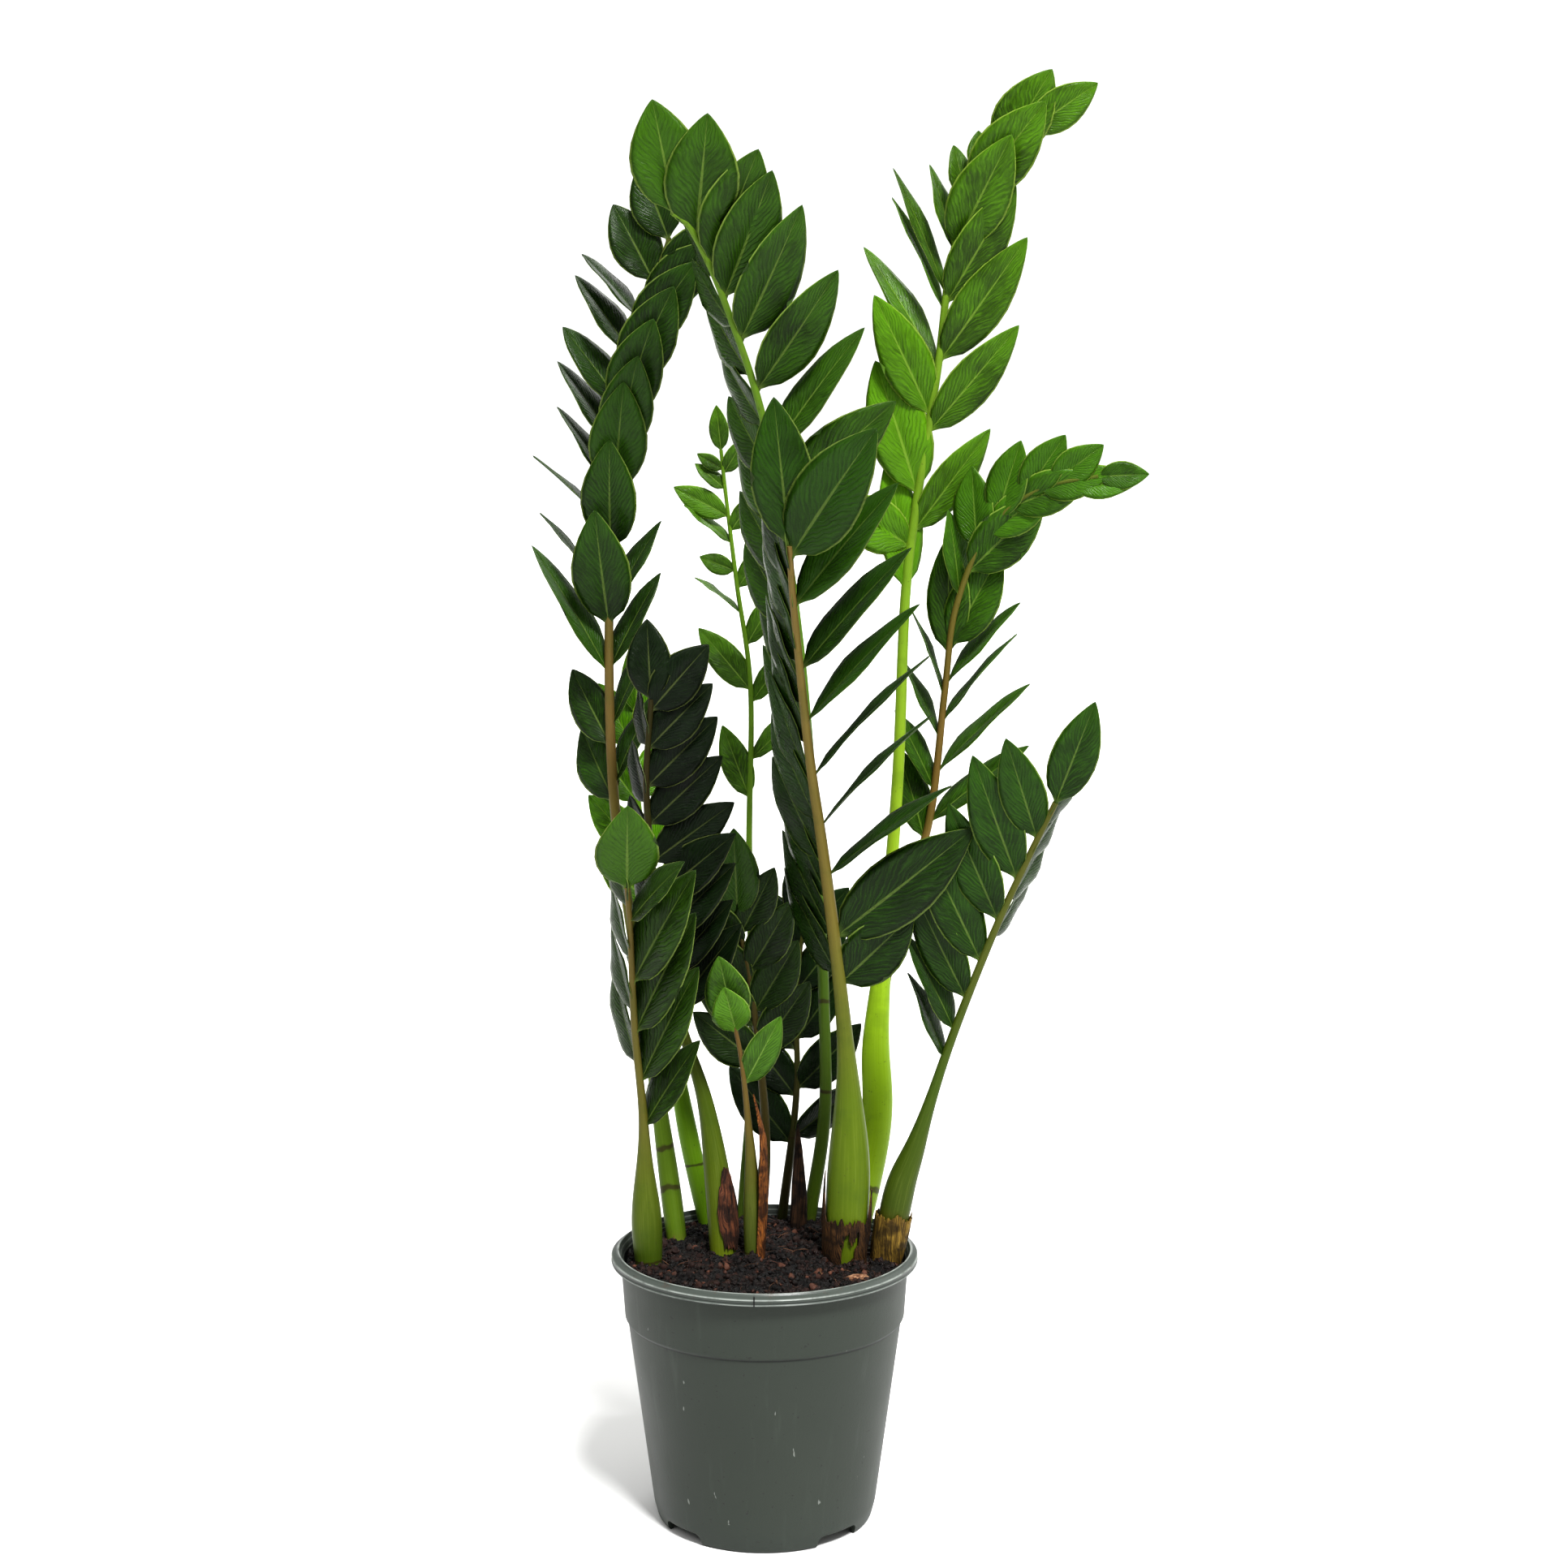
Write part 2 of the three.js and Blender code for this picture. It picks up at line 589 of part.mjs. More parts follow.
// A frond's stem from its foot in the soil to its tip, grown outwards by a clearance.
function stemGeometry(frond, clearance) {
  const spine = spineOf(frond);
  const root = spine.at(0);
  const rootRadius = stemRadius(frond, 0, spine.length);
  const tuber = TUBERS[frond.tuber];
  const [middleX, middleY] = tuber.centre;
  const rings = ROOT_STEPS.map(({ down, spread, narrow }) => ({
    centre: new THREE.Vector3(
      middleX + (root.x - middleX) * spread,
      middleY + (root.y - middleY) * spread,
      root.z - down,
    ),
    radius: rootRadius * narrow + clearance,
    direction: new THREE.Vector3(0, 0, 1),
  }));
  const foot = rings[0];
  const skin = tuberTop(tuber, foot.centre.x, foot.centre.y, rootRadius * ROOT_STEPS[0].narrow);
  foot.centre.z = Math.min(skin + GAP, rings[1].centre.z - 1) - clearance * 4;
  const steps = Math.ceil(spine.length / RING_SPACING);
  for (let i = 0; i <= steps; i += 1) {
    rings.push({
      centre: spine.at(i / steps),
      radius: stemRadius(frond, (i / steps) * spine.length, spine.length) + clearance,
      direction: spine.direction(i / steps),
    });
  }
  return tube(rings, STEM_SIDES);
}

// Half the width of a leaflet at u of its length, as a share of its greatest half width.
function leafOutline(u) {
  return Math.sin(Math.PI * u ** 0.88) ** 0.82;
}

// One leaflet: a pointed blade, folded along its midrib and arched back, with the same triangles on
// both faces. Its root lies on the rachis' own axis.
function leafletGeometry({ root, direction, normal, long, wide }) {
  const across = new THREE.Vector3().crossVectors(normal, direction);
  const place = (u, v, thickness) => {
    const half = (wide / 2) * leafOutline(u);
    const rise = -LEAF_ARCH * long * u * u + LEAF_FOLD * Math.abs(v) * half + thickness;
    const point = root.clone().addScaledVector(direction, long * u);
    return point.addScaledVector(across, half * v).addScaledVector(normal, rise);
  };
  const points = [place(0, 0, 0)];
  for (const u of LEAF_STATIONS) {
    const thickness = LEAF_HALF_THICKNESS;
    points.push(place(u, 1, 0), place(u, 0, thickness), place(u, -1, 0), place(u, 0, -thickness));
  }
  points.push(place(1, 0, 0));
  const tip = points.length - 1;
  const last = tip - 4;
  const faces = [];
  for (let side = 0; side < 4; side += 1) {
    const next = (side + 1) % 4;
    faces.push([0, 1 + next, 1 + side], [tip, last + side, last + next]);
    for (let i = 0; i < LEAF_STATIONS.length - 1; i += 1) {
      const a = 1 + i * 4 + side;
      const b = 1 + i * 4 + next;
      // the shorter way across is taken alike above and below the blade
      if (side % 2 === 0) faces.push([a, b, a + 4], [b, b + 4, a + 4]);
      else faces.push([a, b, b + 4], [a, b + 4, a + 4]);
    }
  }
  return closedGeometry(points, faces);
}

// Where each leaflet of a frond sits and how it is turned.
function leafletsOf(frond) {
  const spine = spineOf(frond);
  const facing = new THREE.Vector3(...(frond.facing || TO_VIEWER)).normalize();
  const frameAt = (f) => {
    const up = spine.direction(f);
    const out = facing.clone().addScaledVector(up, -facing.dot(up)).normalize();
    return { up, out, right: new THREE.Vector3().crossVectors(up, out) };
  };
  const leaflets = [];
  frond.rows.forEach((row, rowIndex) => {
    for (let i = 0; i < row.count; i += 1) {
      const f = row.count > 1 ? i / (row.count - 1) : 0;
      const bend = frond.bends.find(([r, place]) => r === rowIndex && place === i) || [0, 0, 0, 0, 0];
      const key = rowIndex * 40 + i * 4;
      const open = (along(row.open, f) + 3 * draw(frond.seed, key) + bend[2]) * DEGREE;
      const lift = (along(row.lift, f) + 3 * draw(frond.seed, key + 1) + bend[3]) * DEGREE;
      const roll = (along(row.roll, f) + 5 * draw(frond.seed, key + 2) + bend[4]) * DEGREE;
      const size = 1 + 0.05 * draw(frond.seed, key + 3);
      const place = along(row.at, f);
      const { up, out, right } = frameAt(place);
      const sideways = right.clone().multiplyScalar(row.side * Math.cos(lift));
      sideways.addScaledVector(out, Math.sin(lift));
      const direction = up.clone().multiplyScalar(Math.cos(open));
      direction.addScaledVector(sideways, Math.sin(open));
      const flat = right.clone().multiplyScalar(-row.side * Math.sin(lift));
      flat.addScaledVector(out, Math.cos(lift));
      const turned = new THREE.Vector3().crossVectors(direction, flat).multiplyScalar(row.side);
      const normal = flat.multiplyScalar(Math.cos(roll)).addScaledVector(turned, Math.sin(roll));
      leaflets.push({
        root: spine.at(place),
        direction,
        normal,
        long: along(row.long, f) * size,
        wide: along(row.wide, f) * size,
      });
    }
  });
  const { up, out, right } = frameAt(1);
  const direction = up.clone().addScaledVector(right, Math.tan(frond.tip.turn * DEGREE));
  direction.addScaledVector(out, Math.tan(frond.tip.lift * DEGREE)).normalize();
  const normal = out.clone().addScaledVector(direction, -out.dot(direction)).normalize();
  const root = spine.at(1).addScaledVector(up, -1);
  leaflets.push({ root, direction, normal, long: frond.tip.long, wide: frond.tip.wide });
  return leaflets;
}

function makeFrond(frond) {
  let solid = solidOf(stemGeometry(frond, 0));
  for (const leaflet of leafletsOf(frond)) {
    solid = solid.add(solidOf(leafletGeometry(leaflet)));
  }
  return solid;
}

// Dry brown sheaths (cataphylls) that still clasp the foot of some petioles: a shell of one thickness
// round part of the stem, with a torn upper edge. Angles go round the stem, 180 is towards the viewer
// and 270 to the right, and heights are along the spine. Half, its half width in degrees, and away, how
// far it stands off, are given from its foot upwards; clear keeps its facets off the stem's corners.

const SHEATH_THICKNESS = 0.9;
const SHEATHS = {
  front: { middle: 180, half: [150, 135], from: 1, to: 33, torn: 4, away: [0, 0.5], clear: 1.2 },
  low_right: { middle: 180, half: [160, 150], from: 1, to: 34, torn: 3, away: [0, 0.3], clear: 1.2 },
  dark_left: { middle: 212, half: [52, 60, 14], from: 13, to: 62, torn: 3, away: [0, 0], clear: 0.6 },
  young: {
    middle: 265, half: [66, 60, 50, 14], from: 1, to: 108, torn: 3, away: [0, 1, 6, 2], clear: 1.2,
  },
};
const SHEATH_COLUMNS = 8;
const SHEATH_LEVELS = 6;

function sheathGeometry(frond, sheath) {
  const spine = spineOf(frond);
  const points = [];
  const place = (level, column, extra) => {
    const f = level / (SHEATH_LEVELS - 1);
    const spread = along(sheath.half, f) * (column / (SHEATH_COLUMNS - 1) - 0.5) * 2;
    const angle = (sheath.middle + spread) * DEGREE;
    const tear = f * sheath.torn * draw(frond.seed + 3, column);
    const height = sheath.from + (sheath.to - sheath.from) * f + tear;
    const centre = spine.at(height / spine.length);
    const direction = spine.direction(height / spine.length);
    const back = new THREE.Vector3(0, 1, 0);
    back.addScaledVector(direction, -back.dot(direction)).normalize();
    const left = new THREE.Vector3().crossVectors(direction, back);
    const away = sheath.clear + along(sheath.away, f);
    const radius = stemRadius(frond, height, spine.length) + away + extra;
    const point = centre.addScaledVector(back, radius * Math.cos(angle));
    return point.addScaledVector(left, radius * Math.sin(angle));
  };
  for (const extra of [0, SHEATH_THICKNESS]) {
    for (let level = 0; level < SHEATH_LEVELS; level += 1) {
      for (let column = 0; column < SHEATH_COLUMNS; column += 1) {
        points.push(place(level, column, extra));
      }
    }
  }
  const count = SHEATH_LEVELS * SHEATH_COLUMNS;
  const index = (level, column) => level * SHEATH_COLUMNS + column;
  const faces = [];
  for (let level = 0; level < SHEATH_LEVELS - 1; level += 1) {
    for (let column = 0; column < SHEATH_COLUMNS - 1; column += 1) {
      const a = index(level, column);
      const b = index(level, column + 1);
      const c = index(level + 1, column + 1);
      const d = index(level + 1, column);
      faces.push([a, c, b], [a, d, c]);
      faces.push([a + count, b + count, c + count], [a + count, c + count, d + count]);
    }
  }
  const rim = [];
  const lastColumn = SHEATH_COLUMNS - 1;
  const lastLevel = SHEATH_LEVELS - 1;
  for (let column = 0; column < lastColumn; column += 1) rim.push(index(0, column));
  for (let level = 0; level < lastLevel; level += 1) rim.push(index(level, lastColumn));
  for (let column = lastColumn; column > 0; column -= 1) rim.push(index(lastLevel, column));
  for (let level = lastLevel; level > 0; level -= 1) rim.push(index(level, 0));
  rim.forEach((a, i) => {
    const b = rim[(i + 1) % rim.length];
    faces.push([a, b, b + count], [a, b + count, a + count]);
  });
  return closedGeometry(points, faces);
}

// A spent sheath that stands on its own between the petioles, dry to its point.
const SPENT_SHEATH = [
  { at: [19, 50, 132], radius: 3.6 },
  { at: [20, 51, 158], radius: 5.6 },
  { at: [21.5, 54, 196], radius: 4.2 },
  { at: [21, 58, 232], radius: 0.8 },
];

function spentSheathGeometry(clearance) {
  const rings = SPENT_SHEATH.map(({ at, radius }, i) => ({
    centre: new THREE.Vector3(at[0], at[1], at[2] - (i === 0 ? clearance : 0)),
    radius: radius + clearance,
    direction: new THREE.Vector3(0, 0, 1),
  }));
  return tube(rings, STEM_SIDES);
}

// Soil: fills the pot to just under the lip, a little higher in the middle, with a crumbly surface.

function soilHeight(x, y) {
  const away = Math.hypot(x, y) / BAND_TOP_RADIUS;
  const lumps = Math.sin(x * 0.31 + y * 0.12) + Math.sin(y * 0.27 - x * 0.17);
  const crumbs = lumps + Math.sin((x + y) * 0.19 + 2);
  return SOIL_EDGE_HEIGHT + SOIL_MOUND * (1 - away * away) + SOIL_CRUMB * crumbs * (1 - away ** 4);
}

function makeSoilBody() {
  const inside = (height) => potRadius(height) - WALL - GAP;
  const floor = FLOOR_UNDERSIDE + FLOOR_THICKNESS + GAP;
  const edge = inside(SOIL_EDGE_HEIGHT - LIP_HEIGHT);
  const profile = [
    [0, floor],
    [inside(floor) - 4, floor],
    [inside(floor + 4), floor + 4],
    [inside(LEDGE_HEIGHT - 3), LEDGE_HEIGHT - 3],
    [inside(LEDGE_HEIGHT + 4) - 0.5, LEDGE_HEIGHT + 4],
    [edge - 1, SOIL_EDGE_HEIGHT - 2],
    [edge * 0.9, SOIL_EDGE_HEIGHT],
    [edge * 0.72, SOIL_EDGE_HEIGHT],
    [edge * 0.52, SOIL_EDGE_HEIGHT],
    [edge * 0.28, SOIL_EDGE_HEIGHT],
    [0, SOIL_EDGE_HEIGHT],
  ];
  const geometry = turned(profile, POT_SEGMENTS);
  const position = geometry.attributes.position;
  for (let i = 0; i < position.count; i += 1) {
    const x = position.getX(i);
    const y = position.getY(i);
    if (position.getZ(i) > SOIL_EDGE_HEIGHT - 1) position.setZ(i, soilHeight(x, y));
  }
  return solidOf(geometry);
}

// A chip of bark pressed into the surface near the front right of the pot.
const CHIP_PLACE = [56, -44];
const CHIP_OUTLINE = [[-9, -2], [-4, -5], [4, -4.2], [9, -1], [6, 3.6], [-1, 5], [-7, 3]];
const CHIP_THICKNESS = 5;
const CHIP_SUNK = 1.6;

function chipGeometry(clearance) {
  const grow = 1 + clearance / 5;
  const shape = new THREE.Shape(CHIP_OUTLINE.map(([x, y]) => new THREE.Vector2(x * grow, y * grow)));
  const depth = CHIP_THICKNESS + 2 * clearance;
  const chip = new THREE.ExtrudeGeometry(shape, { depth, bevelEnabled: false });
  chip.translate(0, 0, -clearance);
  chip.rotateX(-0.12);
  chip.rotateZ(0.35);
  return chip.translate(CHIP_PLACE[0], CHIP_PLACE[1], soilHeight(...CHIP_PLACE) - CHIP_SUNK);
}

function tuberGeometry({ centre, radii }, clearance) {
  const ball = new THREE.SphereGeometry(1, 9, 6).rotateX(Math.PI / 2);
  ball.scale(radii[0] + clearance, radii[1] + clearance, radii[2] + clearance);
  return ball.translate(...centre);
}

// Assembly

addPiece('pot', makePot(), POT_PLASTIC);

let soil = makeSoilBody();
for (const [name, frond] of Object.entries(FRONDS)) {
  soil = soil.subtract(solidOf(stemGeometry(frond, GAP)));
  const sheath = SHEATHS[name];
  if (sheath && ROOT_HEIGHT + sheath.from < SOIL_EDGE_HEIGHT) {
    const root = new THREE.Vector3(...frond.spine[0]);
    const soilTop = SOIL_EDGE_HEIGHT + SOIL_MOUND;
    const widest = stemRadius(frond, soilTop - ROOT_HEIGHT, spineOf(frond).length);
    const clear = widest + sheath.clear + SHEATH_THICKNESS + 5 * GAP;
    const hole = new THREE.CylinderGeometry(clear, clear, 40, 20).rotateX(Math.PI / 2);
    soil = soil.subtract(solidOf(hole.translate(root.x, root.y, ROOT_HEIGHT + 10)));
  }
  const leaf = new THREE.MeshStandardMaterial({ color: frond.colour, roughness: 0.35, metalness: 0 });
  addPiece(`frond_${name}`, makeFrond(frond), leaf);
}
for (const [name, sheath] of Object.entries(SHEATHS)) {
  addPiece(`sheath_${name}`, solidOf(sheathGeometry(FRONDS[name], sheath)), BROWN_SHEATH);
}
soil = soil.subtract(solidOf(spentSheathGeometry(GAP)));
addPiece('sheath_spent', solidOf(spentSheathGeometry(0)), BROWN_SHEATH);
soil = soil.subtract(solidOf(chipGeometry(GAP)));
addPiece('bark_chip', solidOf(chipGeometry(0)), BARK);
for (const [name, tuber] of Object.entries(TUBERS)) {
  soil = soil.subtract(solidOf(tuberGeometry(tuber, GAP)));
  addPiece(`rhizome_${name}`, solidOf(tuberGeometry(tuber, 0)), TUBER_SKIN);
}
addPiece('soil', soil, PEAT);

export default model;
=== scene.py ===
# A ZZ plant in a round nursery pot. Metres, +Z up, -Y towards the viewer; the origin is the middle
# of the pot's underside. Measured sizes are given in millimetres, and MM turns them into metres.
import math

import bmesh
import bpy
from mathutils import Matrix, Vector, noise


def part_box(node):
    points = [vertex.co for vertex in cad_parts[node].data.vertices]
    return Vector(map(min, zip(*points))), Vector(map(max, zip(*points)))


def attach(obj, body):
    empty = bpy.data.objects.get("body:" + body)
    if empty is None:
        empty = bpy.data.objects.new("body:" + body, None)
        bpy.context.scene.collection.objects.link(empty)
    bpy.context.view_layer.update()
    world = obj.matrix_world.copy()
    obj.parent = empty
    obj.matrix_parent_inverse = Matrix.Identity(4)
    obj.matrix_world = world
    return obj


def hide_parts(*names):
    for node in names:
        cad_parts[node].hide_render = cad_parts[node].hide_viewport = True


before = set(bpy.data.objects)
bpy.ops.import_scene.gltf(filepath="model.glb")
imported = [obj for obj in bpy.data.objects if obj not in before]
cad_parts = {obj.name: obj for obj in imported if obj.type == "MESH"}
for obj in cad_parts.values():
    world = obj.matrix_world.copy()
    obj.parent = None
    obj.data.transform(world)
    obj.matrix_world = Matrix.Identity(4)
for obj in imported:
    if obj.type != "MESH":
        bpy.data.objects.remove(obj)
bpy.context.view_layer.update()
MM = 0.001

# ---------------------------------------------------------------------------------------------------
# The studio: a camera at the photograph's angle, a plain pale floor, and soft light from large
# sources, the strongest high on the right in front.


def shown(name, data):
    """A new object at the origin that shows a mesh, a light or a camera."""
    made = bpy.data.objects.new(name, data)
    bpy.context.scene.collection.objects.link(made)
    return made


def put(tree, kind, inputs=None, **settings):
    """Adds a node, sets its properties, and gives each named input a value or a link."""
    made = tree.nodes.new(kind)
    for name, value in settings.items():
        setattr(made, name, value)
    for key, value in (inputs or {}).items():
        if isinstance(value, Value):
            tree.links.new(value.socket, made.inputs[key])
        else:
            made.inputs[key].default_value = value
    return made


def given(tree, kind, inputs=None, output=0, **settings):
    """Adds a node and returns the value that it gives."""
    return Value(put(tree, kind, inputs, **settings).outputs[output])


class Value:
    """What a node gives. Plain arithmetic on it adds more nodes to the same tree."""

    def __init__(self, socket):
        self.socket = socket
        self.tree = socket.id_data

    def maths(self, operation, other=0.0):
        return given(self.tree, "ShaderNodeMath", {0: self, 1: other}, operation=operation)

    def part(self, axis):
        return given(self.tree, "ShaderNodeSeparateXYZ", {0: self}, axis)

    def __add__(self, other):
        return self.maths("ADD", other)

    def __sub__(self, other):
        return self.maths("SUBTRACT", other)

    def __mul__(self, other):
        return self.maths("MULTIPLY", other)

    def __truediv__(self, other):
        return self.maths("DIVIDE", other)

    def __pow__(self, other):
        return self.maths("POWER", other)

    def __abs__(self):
        return self.maths("ABSOLUTE")


def ranged(value, low, high, to_low=0.0, to_high=1.0, bend="SMOOTHSTEP"):
    """A value between low and high, carried smoothly to another range."""
    limits = {"Value": value, "From Min": low, "From Max": high, "To Min": to_low, "To Max": to_high}
    return given(value.tree, "ShaderNodeMapRange", limits, "Result", interpolation_type=bend)


def new_surface(name, roughness, specular=0.5):
    """A material with its principled shader, ready for what is fed to it."""
    material = bpy.data.materials.new(name)
    material.use_nodes = True
    shader = material.node_tree.nodes["Principled BSDF"]
    shader.inputs["Roughness"].default_value = roughness
    shader.inputs["Specular IOR Level"].default_value = specular
    return material, shader


lens = bpy.data.cameras.new("camera")
lens.lens = 57.25
lens.sensor_width = 36
camera = shown("camera", lens)
camera.location = (0.012, -1.5, 0.643)
camera.rotation_euler = (math.radians(83), 0, 0)
bpy.context.scene.camera = camera

FLOOR_SIZE = 200
half = FLOOR_SIZE / 2
floor_data = bpy.data.meshes.new("floor")
corners = [(-half, -half, 0), (half, -half, 0), (half, half, 0), (-half, half, 0)]
floor_data.from_pydata(corners, [], [(0, 1, 2, 3)])
floor = shown("floor", floor_data)
paint, shader = new_surface("pale_floor", 0.9, 0.0)
shader.inputs["Base Color"].default_value = (0.8, 0.8, 0.795, 1)
floor_data.materials.append(paint)

sun = bpy.data.lights.new("key", "SUN")
sun.energy = 4.8
sun.angle = math.radians(14)
key = shown("key", sun)
key.rotation_euler = (math.radians(34), 0, math.radians(24))

# Soft boxes that show as satin highlights.
for name, place, width, power in [
    ("box_left", (-1.3, -1.5, 1.9), 0.7, 6),
    ("box_back", (0.7, 1.6, 1.9), 1.0, 9),
]:
    lamp = bpy.data.lights.new(name, "AREA")
    lamp.size = width
    lamp.energy = power
    light = shown(name, lamp)
    light.location = place
    light.rotation_euler = (Vector((0, 0, 0.45)) - Vector(place)).to_track_quat("-Z", "Y").to_euler()

# A white room, brightest overhead and on the right, that shows plain white behind the plant.
world = bpy.data.worlds.new("pale_room")
world.use_nodes = True
room = world.node_tree
towards = given(room, "ShaderNodeTexCoord", output="Generated")
overhead = ranged(towards.part("Z"), 0.0, 1.0, 0.2, 1.1, "LINEAR")
from_right = ranged(towards.part("X"), -1.0, 1.0, 0.6, 1.35, "LINEAR")
unseen = {"Color": (1, 1, 0.985, 1), "Strength": overhead * from_right}
seen = room.nodes["Background"]
seen.inputs["Color"].default_value = (1, 1, 1, 1)
seen.inputs["Strength"].default_value = 1.0
either = given(room, "ShaderNodeMixShader", {
    0: given(room, "ShaderNodeLightPath", output="Is Camera Ray"),
    1: given(room, "ShaderNodeBackground", unseen),
    2: Value(seen.outputs[0]),
})
room.links.new(either.socket, room.nodes["World Output"].inputs["Surface"])
bpy.context.scene.world = world
bpy.context.scene.view_settings.view_transform = "Standard"
bpy.context.scene.view_settings.look = "Medium High Contrast"

# ---------------------------------------------------------------------------------------------------
# The pot: one injection-moulded shell of dark grey-green plastic, with a sloping lip, a straight band
# that ends in a small ledge, a tapered wall, and a foot ring that drainage notches cut into feet.

pot_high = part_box("pot")[1]
LIP_RADIUS = pot_high.x
POT_HEIGHT = pot_high.z
LIP_HEIGHT = 7 * MM
LIP_TOP_RADIUS = 90.2 * MM
LIP_SLOPE = 3 * MM
LIP_GROOVE = 0.5 * MM
BAND_TOP_RADIUS = 89 * MM
LEDGE_HEIGHT = 128 * MM
LEDGE_RADIUS = 86.6 * MM
LEDGE_STEP = 1.5 * MM
FOOT_RADIUS = 66.5 * MM
WALL = 1.8 * MM
FLOOR_UNDERSIDE = 9 * MM
FLOOR_THICKNESS = 2.4 * MM
CENTRE_PAD_RADIUS = 16 * MM
NOTCH_COUNT = 4
NOTCH_HEIGHT = 7.5 * MM
NOTCH_WIDTH = 31 * MM
FIRST_NOTCH = math.radians(-48)
DRAIN_HOLE_COUNT = 8
DRAIN_HOLE_RADIUS = 5 * MM
DRAIN_HOLE_CIRCLE = 42 * MM
FOOT_STEP = 1.5 * MM
POT_SEGMENTS = 160
BEND_STEPS = 5
ON_AXIS = 1e-6


def pot_radius(height):
    """The radius of the pot's outer wall below its lip."""
    if height > LEDGE_HEIGHT:
        rise = (height - LEDGE_HEIGHT) / (POT_HEIGHT - LIP_HEIGHT - LEDGE_HEIGHT)
        return LEDGE_RADIUS + (BAND_TOP_RADIUS - LEDGE_RADIUS) * rise
    below_ledge = LEDGE_RADIUS - LEDGE_STEP
    foot = FOOT_RADIUS + FOOT_STEP
    return foot + (below_ledge - foot) * height / LEDGE_HEIGHT


def rounded(corners):
    """Points along an outline of (radius, height, fillet) corners, each rounded by its own fillet."""
    points = []
    for i, (x, y, fillet) in enumerate(corners):
        here = Vector((x, y))
        if fillet == 0 or i in (0, len(corners) - 1):
            points.append(here)
            continue
        before = Vector(corners[i - 1][:2]) - here
        after = Vector(corners[i + 1][:2]) - here
        reach = min(fillet, 0.49 * before.length, 0.49 * after.length)
        start = here + before.normalized() * reach
        end = here + after.normalized() * reach
        for step in range(BEND_STEPS + 1):
            t = step / BEND_STEPS
            points.append(start * (1 - t) ** 2 + here * 2 * t * (1 - t) + end * t ** 2)
    return points


def mesh_from(name, mesh):
    """The finished mesh of what was built, which isn't needed any more."""
    data = bpy.data.meshes.new(name)
    mesh.to_mesh(data)
    mesh.free()
    return data


def turned(name, outline, segments):
    """A closed mesh turned about Z from an outline that starts and ends on the axis."""
    mesh = bmesh.new()
    rings = []
    for point in outline:
        if point.x < ON_AXIS:
            rings.append([mesh.verts.new((0, 0, point.y))] * segments)
            continue
        turns = [2 * math.pi * k / segments for k in range(segments)]
        circle = [(point.x * math.cos(a), point.x * math.sin(a), point.y) for a in turns]
        rings.append([mesh.verts.new(place) for place in circle])
    for lower, upper in zip(rings, rings[1:]):
        for k in range(segments):
            loop = [lower[k], lower[(k + 1) % segments], upper[(k + 1) % segments], upper[k]]
            corners = list(dict.fromkeys(loop))
            if len(corners) > 2:
                mesh.faces.new(corners)
    bmesh.ops.recalc_face_normals(mesh, faces=mesh.faces)
    return mesh_from(name, mesh)


def settled(piece):
    """Turns a piece's modifiers into plain mesh, once they have done their work."""
    evaluated = piece.evaluated_get(bpy.context.evaluated_depsgraph_get())
    data = bpy.data.meshes.new_from_object(evaluated)
    piece.modifiers.clear()
    old = piece.data
    piece.data = data
    bpy.data.meshes.remove(old)
    data.name = piece.name
    return piece


